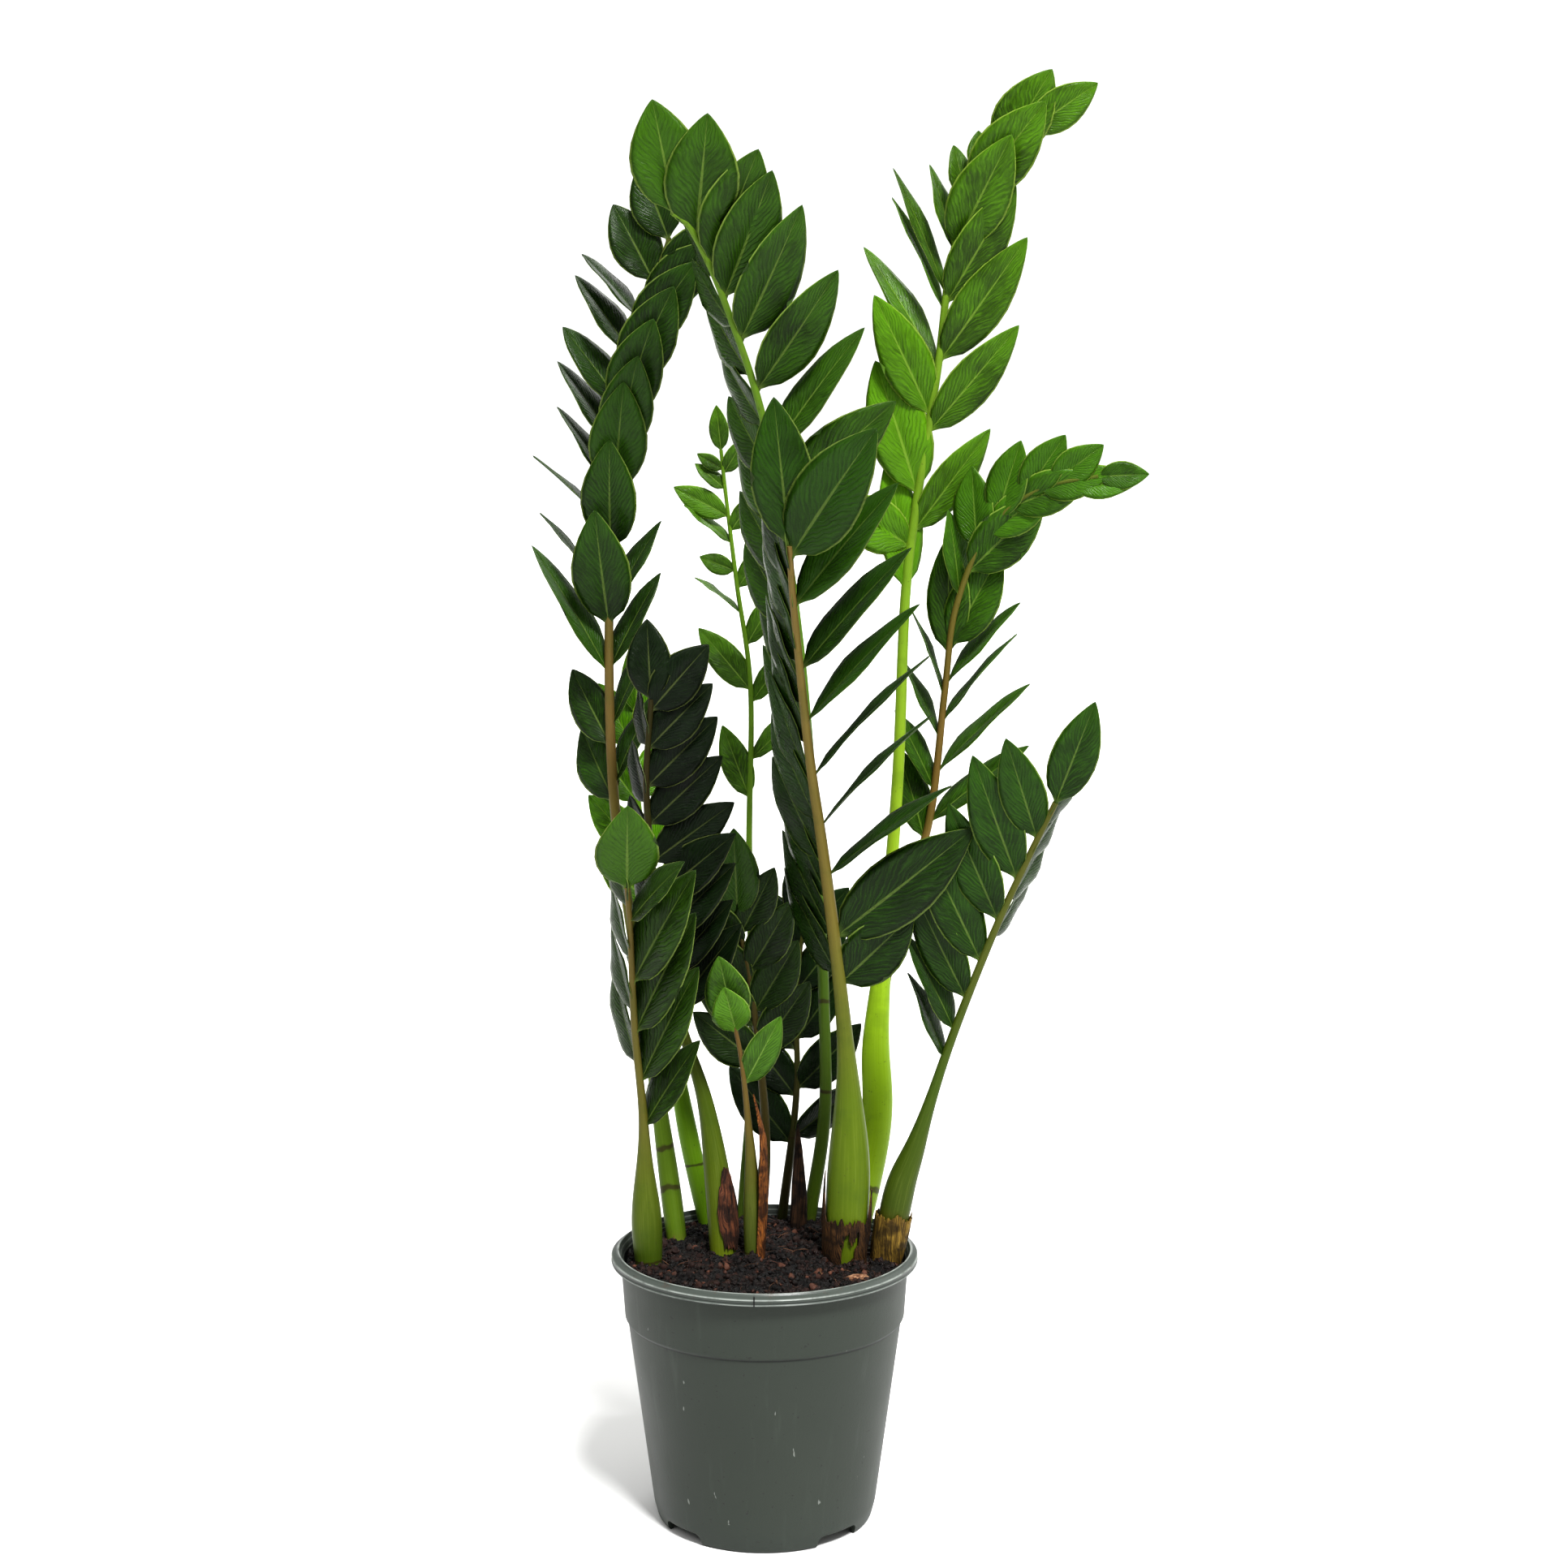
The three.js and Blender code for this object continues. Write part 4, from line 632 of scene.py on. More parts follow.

# ---------------------------------------------------------------------------------------------------
# The fronds: each is one compound leaf, a fleshy petiole that swells at its foot and runs on as the
# rachis, with alternate leaflets and one at its tip. A frond is one mesh of its stem and leaflets.

# Each frond, in millimetres and degrees: its spine, the rachis's radii, and its swelling (extra radius,
# height of the widest place, length of the fall). A row of leaflets has a count, or else one leaflet for
# each place it names along the spine, and values that run evenly from its first leaflet to its last: open
# is away from the rachis, lift is out of the frond's plane towards the viewer, roll is about the leaflet's
# own length, and tone is painted light and shade: how much paler its green is painted where it stands in
# light, or darker below 0 where it stands in shade. Bends turn single leaflets clear of a neighbouring
# frond, as (row, place, open, lift, roll). What a frond or a row doesn't name is 0.
FRONDS = {
    "front": dict(
        seed=1, rachis=(5.5, 1.8), swell=(8.5, 52, 62),
        spine=[(49, -10, 158), (52, -8, 240), (48, -18, 317), (36, -38, 417), (27, -56, 481),
               (18, -80, 565), (15, -92, 605)],
        rows=[
            dict(side=1, at=(0.4, 0.465, 0.55, 0.62, 0.69, 0.765, 0.835, 0.92),
                 long=(64, 112, 100, 104, 104, 100, 96, 88), wide=(36, 44, 24, 20, 20, 24, 29, 30),
                 open=(47, 54, 50, 46, 44, 45, 42, 41), lift=(10, 10, 6, 0),
                 roll=(0, -8, -84, -88, -84, -76, -60, -46),
                 tone=(-1.5, -1.3, -0.6, -0.1, 0.2, 0.4, 0.5, 0.5)),
            dict(side=-1, count=11, at=(0.41, 0.95), long=(84, 64), wide=(34, 32), open=(46, 36),
                 lift=(-56, -66), tone=(-0.9, -0.3)),
            dict(side=1, count=1, at=0.985, long=88, wide=42, open=36, lift=20, roll=-14, tone=0.4),
        ],
        tip=dict(long=84, wide=36, turn=-2, lift=-10, tone=0.5),
        leaf=((28, 53, 9), (52, 66, 36)),
        stem=((0.0, (91, 105, 20)), (0.1, (77, 95, 14)), (0.24, (77, 94, 15)), (0.36, (84, 89, 28)),
              (0.5, (97, 86, 37)), (1.0, (102, 85, 45))),
    ),
    "arching_left": dict(
        seed=2, rachis=(4.2, 1.8), swell=(0.5, 20, 60), scars=(0.14, 0.23),
        spine=[(27, 73, 158), (38, 76, 230), (38, 74, 298), (34, 68, 381), (22, 52, 537), (2, 32, 667),
               (-23, 10, 746), (-42, -4, 787), (-53, -8, 797)],
        rows=[
            dict(side=1, at=(0.63, 0.715, 0.76, 0.82, 0.868, 0.91, 0.942, 0.97),
                 long=(84, 90, 98, 90, 86, 78, 74, 70), wide=(26, 35, 30, 35, 37, 38, 42, 44),
                 open=(50, 58, 46, 51, 45, 44, 46, 33), lift=(4, 6, 6, 2),
                 roll=(-70, 0, -50, 14, 18, 18, 12, 4), tone=(-0.3, 0, 0, 0.3)),
            dict(side=-1, count=10, at=(0.5, 0.93), long=(64, 64, 54), wide=(30, 32, 30),
                 open=(34, 36, 44), lift=(-42, -48, -76), tone=(0, -0.4, -1)),
        ],
        tip=dict(long=66, wide=42, turn=47, lift=4, tone=0.6),
        leaf=((40, 68, 12), (60, 86, 36)),
        stem=((0.0, (67, 86, 20)), (0.3, (64, 89, 22)), (0.6, (78, 111, 26)), (1.0, (89, 117, 32))),
    ),
    "tall_left": dict(
        seed=3, rachis=(4.5, 1.8), swell=(2.5, 20, 70), scars=(0.06, 0.1),
        spine=[(-55, 31, 158), (-63, 48, 213), (-74, 60, 288), (-92, 66, 407), (-98, 72, 483),
               (-98, 82, 586), (-91, 90, 678), (-78, 94, 739), (-60, 98, 792)],
        rows=[
            dict(side=1, at=(0.617, 0.69, 0.748, 0.785, 0.818, 0.852, 0.89, 0.925, 0.965),
                 long=(73, 68, 66, 60), wide=(37, 36, 34, 30), open=(25, 26, 28, 40),
                 lift=(105, 78, 50, 20), roll=(100, 76, 46, 10), tone=(0.6, 0.1, -0.8)),
            dict(side=-1, at=(0.445, 0.5, 0.57, 0.64, 0.71, 0.75, 0.79, 0.83, 0.88, 0.915, 0.955),
                 long=(56, 62, 96, 72, 68, 66, 66, 66, 60, 56, 54),
                 wide=(28, 28, 26, 22, 22, 25, 28, 30, 28, 26, 32),
                 open=(32, 34, 30, 36, 42, 38, 38, 40, 48, 52, 45),
                 lift=(-50, -40, 0, 0, 0, 0, 0, 0, 0, 0, 0),
                 roll=(-30, -30, -54, -84, -82, -62, -56, -46, -50, -70, -20),
                 tone=(-0.9, -0.9, 0.8, -1, -1, -1, -1, -1, -1, -1, -1)),
            dict(side=1, count=4, at=(0.46, 0.63), long=(66, 70), wide=(22, 21), open=25, lift=-10,
                 roll=(-66, -56), tone=(-0.6, -0.4)),
        ],
        tip=dict(long=52, wide=32, turn=-40, tone=-1),
        leaf=((31, 56, 10), (46, 70, 26)),
        stem=((0.0, (75, 97, 19)), (0.2, (73, 97, 20)), (0.36, (88, 85, 30)), (0.5, (92, 75, 40)),
              (1.0, (64, 70, 26))),
    ),
    "low_left": dict(
        seed=4, rachis=(3.2, 1.6), swell=(7, 25, 42), scars=(0.03,),
        spine=[(-71, -15, 158), (-73, -12, 209), (-74, -15, 258), (-78, -26, 313), (-79, -46, 376),
               (-80, -58, 405)],
        rows=[
            dict(side=1, at=(0.36, 0.475, 0.605, 0.74, 0.905), long=(66, 82, 86, 86, 58),
                 wide=(28, 32, 36, 36, 26), open=(31, 30, 28, 27, 36), lift=12,
                 roll=(-46, -38, -34, -30, -62), tone=(-1.2, -1)),
            dict(side=-1, count=4, at=(0.52, 0.94), long=(62, 44), wide=(28, 26), open=(34, 36),
                 lift=-60, tone=-1),
        ],
        tip=dict(long=56, wide=38, turn=4, lift=4, tone=1.4),
        leaf=((36, 60, 13), (62, 84, 40)),
        stem=((0.0, (58, 75, 14)), (0.2, (70, 82, 19)), (0.4, (83, 80, 31)), (1.0, (92, 77, 40))),
    ),
    "dark_left": dict(
        seed=5, rachis=(3.8, 1.8), swell=(5.5, 30, 70),
        spine=[(-25, -10, 158), (-28, 2, 202), (-37, 14, 258), (-52, 18, 307), (-64, 16, 364),
               (-72, 12, 448), (-69, 14, 509)],
        rows=[
            dict(side=1, count=9, at=(0.46, 0.98), long=(64, 66, 54), wide=(28, 30, 30),
                 open=(50, 58, 36), lift=(4, 4, 4), roll=(-20, -10, 0)),
            dict(side=-1, count=5, at=(0.52, 0.92), long=(50, 44), wide=(26, 24), open=34, lift=-60),
        ],
        bends=[(0, 1, 0, 15, 0), (0, 2, 0, 15, 0), (0, 3, 0, 15, 0)],
        tip=dict(long=50, wide=28, turn=-6),
        leaf=((13, 25, 9), (28, 42, 22)),
        stem=((0.0, (84, 95, 14)), (0.1, (68, 81, 11)), (0.3, (59, 74, 12)), (0.5, (46, 41, 13)),
              (1.0, (35, 29, 11))),
    ),
    "back_left": dict(
        seed=6, rachis=(3.6, 1.6), swell=(3.2, 60, 60), facing=(0.5, -1, 0), scars=(0.13, 0.3),
        spine=[(-36, 68, 158), (-51, 80, 224), (-60, 90, 275), (-73, 106, 358), (-84, 122, 436),
               (-86, 132, 489)],
        rows=[
            dict(side=1, count=4, at=(0.6, 0.95), long=(60, 50), wide=(26, 24), open=(36, 30), lift=10),
            dict(side=-1, count=4, at=(0.62, 0.93), long=(58, 50), wide=(26, 24), open=(34, 30),
                 lift=-30),
        ],
        tip=dict(long=54, wide=24, turn=6),
        leaf=((72, 116, 14), (84, 122, 34)),
        stem=((0.0, (84, 117, 16)), (0.5, (92, 129, 20)), (1.0, (73, 106, 20))),
    ),
    "young": dict(
        seed=7, rachis=(2.4, 1.3), swell=(3.6, 30, 45), facing=(0, -1, 0.25), scars=(0.08,),
        spine=[(-7, -15, 158), (-8, -7, 217), (-10, -4, 249), (-14, -7, 289), (-18, -11, 312)],
        rows=[
            dict(side=1, count=1, at=0.75, long=50, wide=22, open=36),
            dict(side=-1, count=1, at=0.97, long=36, wide=25, open=16, lift=84, roll=80, tone=0.6),
        ],
        tip=dict(long=46, wide=28, turn=-2),
        leaf=((58, 90, 26), (72, 98, 44)),
        stem=((0.0, (57, 67, 20)), (0.3, (70, 77, 26)), (0.6, (87, 73, 33)), (1.0, (92, 70, 35))),
    ),
    "dark_centre": dict(
        seed=8, rachis=(3.4, 1.6), swell=(1.8, 15, 40), scars=(0.2,),
        spine=[(-6, 60, 158), (0, 54, 215), (-2, 47, 264), (-9, 36, 327), (-17, 26, 372)],
        rows=[
            dict(side=1, count=4, at=(0.58, 0.95), long=(54, 50), wide=(28, 26), open=(42, 38), tone=-1),
            dict(side=-1, count=4, at=(0.54, 0.9), long=(54, 50), wide=(28, 26), open=(42, 30), lift=10,
                 tone=-1),
        ],
        tip=dict(long=60, wide=30, turn=8, lift=4, tone=1.6),
        leaf=((32, 54, 14), (38, 58, 28)),
        stem=((0.0, (42, 38, 15)), (0.4, (59, 51, 21)), (1.0, (73, 62, 26))),
    ),
    "back_centre": dict(
        seed=9, rachis=(2.8, 1.4), swell=(0.6, 15, 40), facing=(-0.2, -1, 0), scars=(0.3,),
        spine=[(10, 78, 158), (20, 90, 243), (20, 98, 303), (24, 104, 352)],
        rows=[
            dict(side=1, count=5, at=(0.3, 0.95), long=(60, 50), wide=(28, 26), open=(46, 34), lift=10),
            dict(side=-1, count=5, at=(0.28, 0.9), long=(62, 50), wide=(28, 26), open=(46, 36), lift=10),
        ],
        bends=[(0, 0, 0, -25, 25), (0, 1, 0, -12, 20)],
        tip=dict(long=52, wide=26, turn=-6),
        # Its very dark greens are partly painted shade, for the shade deep in the middle of the plant.
        leaf=((16, 34, 9), (36, 54, 26)),
        stem=((0.0, (37, 32, 14)), (1.0, (60, 60, 22))),
    ),
    "tall_right": dict(
        seed=10, rachis=(5.2, 1.8), swell=(5, 95, 75), scars=(0.05,),
        spine=[(56, 48, 158), (71, 58, 232), (71, 66, 288), (78, 76, 364), (85, 84, 457), (89, 90, 564),
               (96, 92, 627), (109, 92, 712), (117, 90, 779), (133, 86, 825), (163, 80, 856)],
        rows=[
            dict(side=1, at=(0.632, 0.72, 0.782, 0.832, 0.878, 0.925, 0.965),
                 long=(84, 91, 94, 88, 80, 78, 66), wide=(26, 30, 32, 34, 38, 40, 38),
                 open=(27, 32, 29, 30, 25, 23, -12), lift=(6, 10, 16, 28, 56, 55, 0),
                 roll=(10, 16, 24, 34, 52, 50, 0), tone=(0.1, 0, -0.2, -0.2, 0)),
            dict(side=-1, at=(0.58, 0.62, 0.665, 0.735), long=(90, 58, 86, 84), wide=(32, 34, 40, 34),
                 open=(13, 70, 27, 36), lift=(20, 16), tone=(1, 0.6)),
            dict(side=-1, at=(0.777, 0.825, 0.84, 0.878, 0.918, 0.945), long=(96, 78, 86, 56, 40, 30),
                 wide=(24, 12, 14, 20, 20, 18), open=(36, 27, 26, 28, 36, 40), lift=-20,
                 roll=(-66, -78, -60, -66, -50, -20), tone=(-0.3, -1.2, -1.2)),
        ],
        tip=dict(long=52, wide=26, turn=10, tone=0.4),
        leaf=((62, 98, 14), (78, 112, 32)),
        stem=((0.0, (108, 132, 20)), (0.15, (127, 160, 23)), (0.35, (127, 155, 36)),
              (0.6, (105, 137, 34)), (1.0, (95, 124, 34))),
    ),
    "mid_right": dict(
        seed=11, rachis=(3.8, 1.4), swell=(0.8, 20, 60), scars=(0.25,),
        spine=[(40, 68, 158), (67, 82, 218), (75, 92, 296), (88, 96, 365), (106, 96, 424),
               (115, 92, 508), (121, 84, 561), (140, 72, 610), (170, 60, 636), (206, 50, 644)],
        rows=[
            dict(side=1, at=(0.5, 0.56, 0.62, 0.665, 0.71, 0.8, 0.85, 0.89, 0.93, 0.965),
                 long=(80, 80, 76, 70, 72, 66, 56, 54, 48, 42),
                 wide=(24, 22, 20, 20, 34, 34, 28, 27, 25, 22),
                 open=(34, 34, 32, 30, 24, 26, 20, 18, 14, 12), lift=(0, 0, 10, 10),
                 roll=(-70, -80, -84, -84, -6, 0, 0, 0, 0, 0), tone=(-0.6, -0.8, 0.3, 0.9, 0.9)),
            dict(side=-1, at=(0.48, 0.54, 0.6, 0.65, 0.7, 0.77, 0.83, 0.87, 0.91, 0.945),
                 long=(60, 60, 60, 60, 76, 56, 52, 52, 46, 40),
                 wide=(24, 22, 20, 20, 28, 24, 28, 27, 25, 23),
                 open=(28, 28, 28, 24, 3, 20, 30, 26, 22, 20), lift=(0, -10, -20, 10),
                 roll=(-60, -76, -84, -80, -10, -60, 0, 0, 0, 0), tone=(-0.6, -0.8, -0.5, 0.9, 0.9)),
        ],
        bends=[(1, 0, 0, 0, 25), (1, 1, 0, 0, 25), (1, 2, 0, -15, 0)],
        tip=dict(long=32, wide=18, turn=8, tone=0.8),
        leaf=((48, 82, 12), (60, 92, 30)),
        stem=((0.0, (67, 67, 26)), (0.3, (98, 82, 40)), (0.6, (107, 85, 41)), (1.0, (78, 92, 28))),
    ),
    "low_right": dict(
        seed=12, rachis=(3.6, 1.8), swell=(6.5, 40, 48),
        spine=[(74, -6, 158), (83, -6, 207), (94, -8, 240), (114, -17, 306), (137, -31, 372),
               (156, -42, 419), (171, -52, 454)],
        rows=[
            dict(side=1, count=4, at=(0.7, 0.95), long=(54, 46), wide=26, open=(40, 36), lift=(-66, -70),
                 tone=-0.8),
            dict(side=-1, at=(0.44, 0.5, 0.57, 0.65, 0.74, 0.83, 0.92),
                 long=(60, 68, 78, 82, 82, 80, 68), wide=(22, 24, 27, 29, 30, 30, 29),
                 open=(34, 38, 42, 42, 42, 42, 40), lift=4, roll=(-60, -50, -24, -10, 0, 0, 0),
                 tone=(-1, -0.8, -0.5, 0.2)),
        ],
        bends=[(1, 2, 0, 0, 25)],
        tip=dict(long=66, wide=28, turn=-4, tone=0.4),
        leaf=((34, 62, 12), (58, 84, 38)),
        stem=((0.0, (73, 59, 15)), (0.09, (68, 64, 14)), (0.13, (56, 70, 14)), (0.4, (57, 76, 15)),
              (0.7, (73, 79, 27)), (1.0, (77, 75, 27))),
    ),
    "thin_back": dict(
        seed=13, rachis=(3, 1.2), swell=(0.5, 15, 60), facing=(0, -1, 0.1), scars=(0.4,),
        spine=[(-16, 77, 158), (-9, 106, 266), (-11, 128, 398), (-10, 138, 504), (-19, 140, 574),
               (-26, 138, 632), (-29, 136, 661)],
        rows=[
            dict(side=1, count=6, at=(0.6, 0.97), long=(50, 26), wide=(18, 12), open=40, lift=10,
                 roll=(-30, 20)),
            dict(side=-1, at=(0.55, 0.69, 0.79, 0.845, 0.88, 0.915, 0.95, 0.975),
                 long=(50, 54, 40, 26, 40, 40, 26, 20), wide=(20, 22, 16, 14, 14, 18, 12, 10),
                 open=(20, 34, 40, 64, 40, 55, 44, 50), roll=(0, -10, -76, 0, -66, -10, -30, 0)),
        ],
        tip=dict(long=30, wide=13),
        leaf=((68, 104, 24), (84, 116, 42)),
        stem=((0.0, (59, 76, 20)), (0.5, (81, 110, 30)), (1.0, (89, 123, 27))),
    ),
}

SPINE_SAMPLES = 120
FOOT_WAIST = 0.4
FOOT_WAIST_RISE = 18
ROOT_STEPS = [(20, 0.92, 0.92), (12, 0.96, 0.96)]  # down, drawn in, narrowed
RING_SPACING = 5
STEM_SIDES = 18
TO_VIEWER = (0, -1, 0)
LEAF_ARCH = 0.08
LEAF_FOLD = 0.38
LEAF_CROWN = 0.24
LEAF_RIPPLE = 0.9 * MM
LEAF_TWIST = 0.22


def draw(seed, index):
    """A repeatable draw between -1 and 1."""
    wave = math.sin(seed * 12.9898 + index * 78.233) * 43758.5453
    return 2 * (wave - math.floor(wave)) - 1


def along(values, f):
    """A value that runs evenly through several as f goes from 0 to 1, or stays the same if it is one."""
    if not isinstance(values, (tuple, list)):
        return values
    place = f * (len(values) - 1)
    first = min(int(place), len(values) - 2)
    return values[first] + (values[first + 1] - values[first]) * (place - first)


class Spine:
    """A smooth curve through a frond's points, measured along its length."""

    def __init__(self, points):
        given = [Vector(p) for p in points]
        ends = [2 * given[0] - given[1], *given, 2 * given[-1] - given[-2]]
        self.samples = []
        for i in range(SPINE_SAMPLES + 1):
            place = i / SPINE_SAMPLES * (len(given) - 1)
            k = min(int(place), len(given) - 2)
            self.samples.append(self.between(ends[k:k + 4], place - k))
        self.reach = [0]
        for a, b in zip(self.samples, self.samples[1:]):
            self.reach.append(self.reach[-1] + (b - a).length)
        self.length = self.reach[-1]

    @staticmethod
    def between(p, t):
        """The curve from the second of four points to the third."""
        start = (p[2] - p[0]) / 2
        end = (p[3] - p[1]) / 2
        bend = 2 * p[1] - 2 * p[2] + start + end
        turn = -3 * p[1] + 3 * p[2] - 2 * start - end
        return p[1] + start * t + turn * t ** 2 + bend * t ** 3

    def at(self, f):
        wanted = min(max(f, 0), 1) * self.length
        i = 1
        while i < SPINE_SAMPLES and self.reach[i] < wanted:
            i += 1
        share = (wanted - self.reach[i - 1]) / (self.reach[i] - self.reach[i - 1])
        return self.samples[i - 1].lerp(self.samples[i], share)

    def direction(self, f):
        return (self.at(f + 0.01) - self.at(f - 0.01)).normalized()


def stem_radius(frond, height, length):
    """The stem's radius, in millimetres, at a height along its spine."""
    extra, widest, fall = frond["swell"]
    plain = along(frond["rachis"], min(height / length, 1))
    bulge = math.exp(-(max(0, height - widest) / fall) ** 2)
    waist = 1 - FOOT_WAIST * math.exp(-height / FOOT_WAIST_RISE)
    return plain + extra * bulge * waist


def leaflets_of(frond, spine):
    """Where each leaflet of a frond sits and how it is turned."""
    facing = Vector(frond.get("facing", TO_VIEWER)).normalized()

    def frame_at(f):
        up = spine.direction(f)
        out = (facing - up * facing.dot(up)).normalized()
        return up, out, up.cross(out)

    leaflets = []
    for row_index, row in enumerate(frond["rows"]):
        count = row.get("count") or len(row["at"])
        for i in range(count):
            f = i / max(count - 1, 1)
            bends = frond.get("bends", [])
            bend = next((b[2:] for b in bends if b[:2] == (row_index, i)), (0, 0, 0))
            key = row_index * 40 + i * 4
            opened = math.radians(along(row["open"], f) + 3 * draw(frond["seed"], key) + bend[0])
            lift = math.radians(along(row.get("lift", 0), f) + 3 * draw(frond["seed"], key + 1) + bend[1])
            roll = math.radians(along(row.get("roll", 0), f) + 5 * draw(frond["seed"], key + 2) + bend[2])
            size = 1 + 0.05 * draw(frond["seed"], key + 3)
            place = along(row["at"], f)
            up, out, right = frame_at(place)
            sideways = right * row["side"] * math.cos(lift) + out * math.sin(lift)
            direction = up * math.cos(opened) + sideways * math.sin(opened)
            flat = out * math.cos(lift) - right * row["side"] * math.sin(lift)
            normal = flat * math.cos(roll) + direction.cross(flat) * row["side"] * math.sin(roll)
            leaflets.append((spine.at(place), direction, normal, along(row["long"], f) * size,
                             along(row["wide"], f) * size, along(row.get("tone", 0), f)))
    up, out, right = frame_at(1)
    tip = frond["tip"]
    turn, lift = [math.tan(math.radians(tip.get(name, 0))) for name in ("turn", "lift")]
    direction = (up + right * turn + out * lift).normalized()
    normal = (out - direction * out.dot(direction)).normalized()
    leaflets.append((spine.at(1) - up, direction, normal, tip["long"], tip["wide"], tip.get("tone", 0)))
    return leaflets


# One leaflet's blade, one unit long and one wide: pointed, with a short neck, a groove along its
# midrib above and a rib below. Its run and side say where each point is on it.
BLADE_STATIONS = [0, 0.035, 0.08, 0.14, 0.22, 0.32, 0.43, 0.55, 0.67, 0.78, 0.87, 0.94, 0.98]
BLADE_SIDES = [-1, -0.74, -0.42, -0.14, 0, 0.14, 0.42, 0.74, 1]
BLADE_HALF_THICKNESS = 0.32 * MM
MIDRIB_RISE = 0.35 * MM


def blade_outline(u):
    """Half the blade's width at u of its length, as a share of its greatest half width."""
    neck = min(1, 0.34 + 0.66 * (u / 0.13) ** 1.3)
    return math.sin(math.pi * u ** 0.88) ** 0.82 * neck if u > 0 else 0.12


blade = bmesh.new()
run_of = blade.verts.layers.float.new("run")
side_of = blade.verts.layers.float.new("side")
spread_of = blade.verts.layers.float.new("spread")
height_of = blade.verts.layers.float.new("height")
under_of = blade.faces.layers.float.new("underside")
uv_of = blade.loops.layers.uv.new("UVMap")


def blade_point(u, v, height):
    """One point of the blade, flat, with its height kept apart."""
    point = blade.verts.new((blade_outline(u) * v / 2, u, 0))
    point[run_of] = u
    point[side_of] = v
    point[spread_of] = blade_outline(u)
    point[height_of] = height
    return point


skins = []
for face in (1, -1):
    skin = []
    for u in BLADE_STATIONS:
        heights = [face * BLADE_HALF_THICKNESS * (1 - 0.6 * v * v) - (v == 0) * MIDRIB_RISE
                   for v in BLADE_SIDES]
        skin.append([blade_point(u, v, height) if abs(v) < 1 or face == 1 else None
                     for v, height in zip(BLADE_SIDES, heights)])
    skins.append(skin)
for upper, lower in zip(*skins):
    lower[0] = upper[0]
    lower[-1] = upper[-1]
tip_point = blade_point(1, 0, 0)
for skin, face in zip(skins, (1, -1)):
    for i, row in enumerate(skin):
        for j in range(len(BLADE_SIDES) - 1):
            after = skin[i + 1][j:j + 2][::-1] if i + 1 < len(skin) else [tip_point]
            corners = [row[j], row[j + 1], *after]
            made = blade.faces.new(corners[::face])
            made[under_of] = face == -1
root_edge = skins[0][0] + skins[1][0][1:-1][::-1]
blade.faces.new(root_edge[::-1])
for face in blade.faces:
    for loop in face.loops:
        loop[uv_of].uv = (loop.vert[side_of] / 2 + 0.5, loop.vert[run_of])
blade_piece = hidden("leaflet_blade", mesh_from("leaflet_blade", blade))

# The tree that grows a frond from its plan: a line of stem points and a point for each leaflet.
frond_tree, start = field_tree("frond", [
    ("Blade", "Object"), ("Stem Sides", "Int"), ("Arch", "Float"), ("Fold", "Float"), ("Crown", "Float"),
    ("Ripple", "Float"), ("Leaf", "Material"), ("Stem", "Material"),
])


def kept(name, kind="FLOAT"):
    """An attribute that the plan or the blade carries."""
    return given(frond_tree, "GeometryNodeInputNamedAttribute", {"Name": name}, "Attribute", data_type=kind)


is_stem = kept("is_stem", "BOOLEAN")
split = put(frond_tree, "GeometryNodeSeparateGeometry",
            {"Geometry": start["Geometry"], "Selection": is_stem}, domain="POINT")
line = given(frond_tree, "GeometryNodeMeshToCurve", {"Mesh": Value(split.outputs["Selection"])})
ring = given(frond_tree, "GeometryNodeCurvePrimitiveCircle",
             {"Resolution": start["Stem Sides"], "Radius": 1.0})
ring_place = given(frond_tree, "GeometryNodeInputPosition")
ring_kept = given(frond_tree, "GeometryNodeStoreNamedAttribute",
                  {"Geometry": ring, "Name": "section", "Value": ring_place},
                  data_type="FLOAT_VECTOR", domain="POINT")
stem_mesh = given(frond_tree, "GeometryNodeCurveToMesh", {
    "Curve": line, "Profile Curve": ring_kept, "Fill Caps": True, "Scale": kept("stem_radius"),
})
leaf_size = kept("leaf_size", "FLOAT_VECTOR")
blades = given(frond_tree, "GeometryNodeInstanceOnPoints", {
    "Points": Value(split.outputs["Inverted"]), "Rotation": kept("leaf_turn", "QUATERNION"),
    "Scale": leaf_size,
    "Instance": given(frond_tree, "GeometryNodeObjectInfo", {"Object": start["Blade"]}, "Geometry"),
})
real = joined_up(frond_tree, [stem_mesh, blades])

# Each half of a blade rises from the midrib and turns over to its margin, and the blade arches back to
# its tip, ripples along its margins, and twists.
run = kept("run")
side = kept("side")
spread = kept("spread")
mood = kept("leaf_mood", "FLOAT_VECTOR")
half_width = leaf_size.part("X") * 0.5 * spread
out_from_rib = abs(side)
crown = out_from_rib * out_from_rib * start["Crown"]
fold = (out_from_rib * start["Fold"] - crown) * half_width
arch = run * run * leaf_size.part("Y") * start["Arch"]
wave = (run * 11.0 + mood.part("Y") + side * 1.3).maths("SINE") * start["Ripple"] * (out_from_rib * spread)
twist = run * side * half_width * mood.part("X")
rise = fold + wave - arch + twist + kept("height")
offset = given(frond_tree, "ShaderNodeVectorMath", {0: kept("leaf_normal", "FLOAT_VECTOR"), "Scale": rise},
               operation="SCALE")
real = given(frond_tree, "GeometryNodeSetPosition", {"Geometry": real, "Offset": offset})
real = given(frond_tree, "GeometryNodeSetMaterial", {"Geometry": real, "Material": start["Leaf"]})
real = given(frond_tree, "GeometryNodeSetMaterial",
             {"Geometry": real, "Selection": is_stem, "Material": start["Stem"]})
put(frond_tree, "NodeGroupOutput", {0: real})


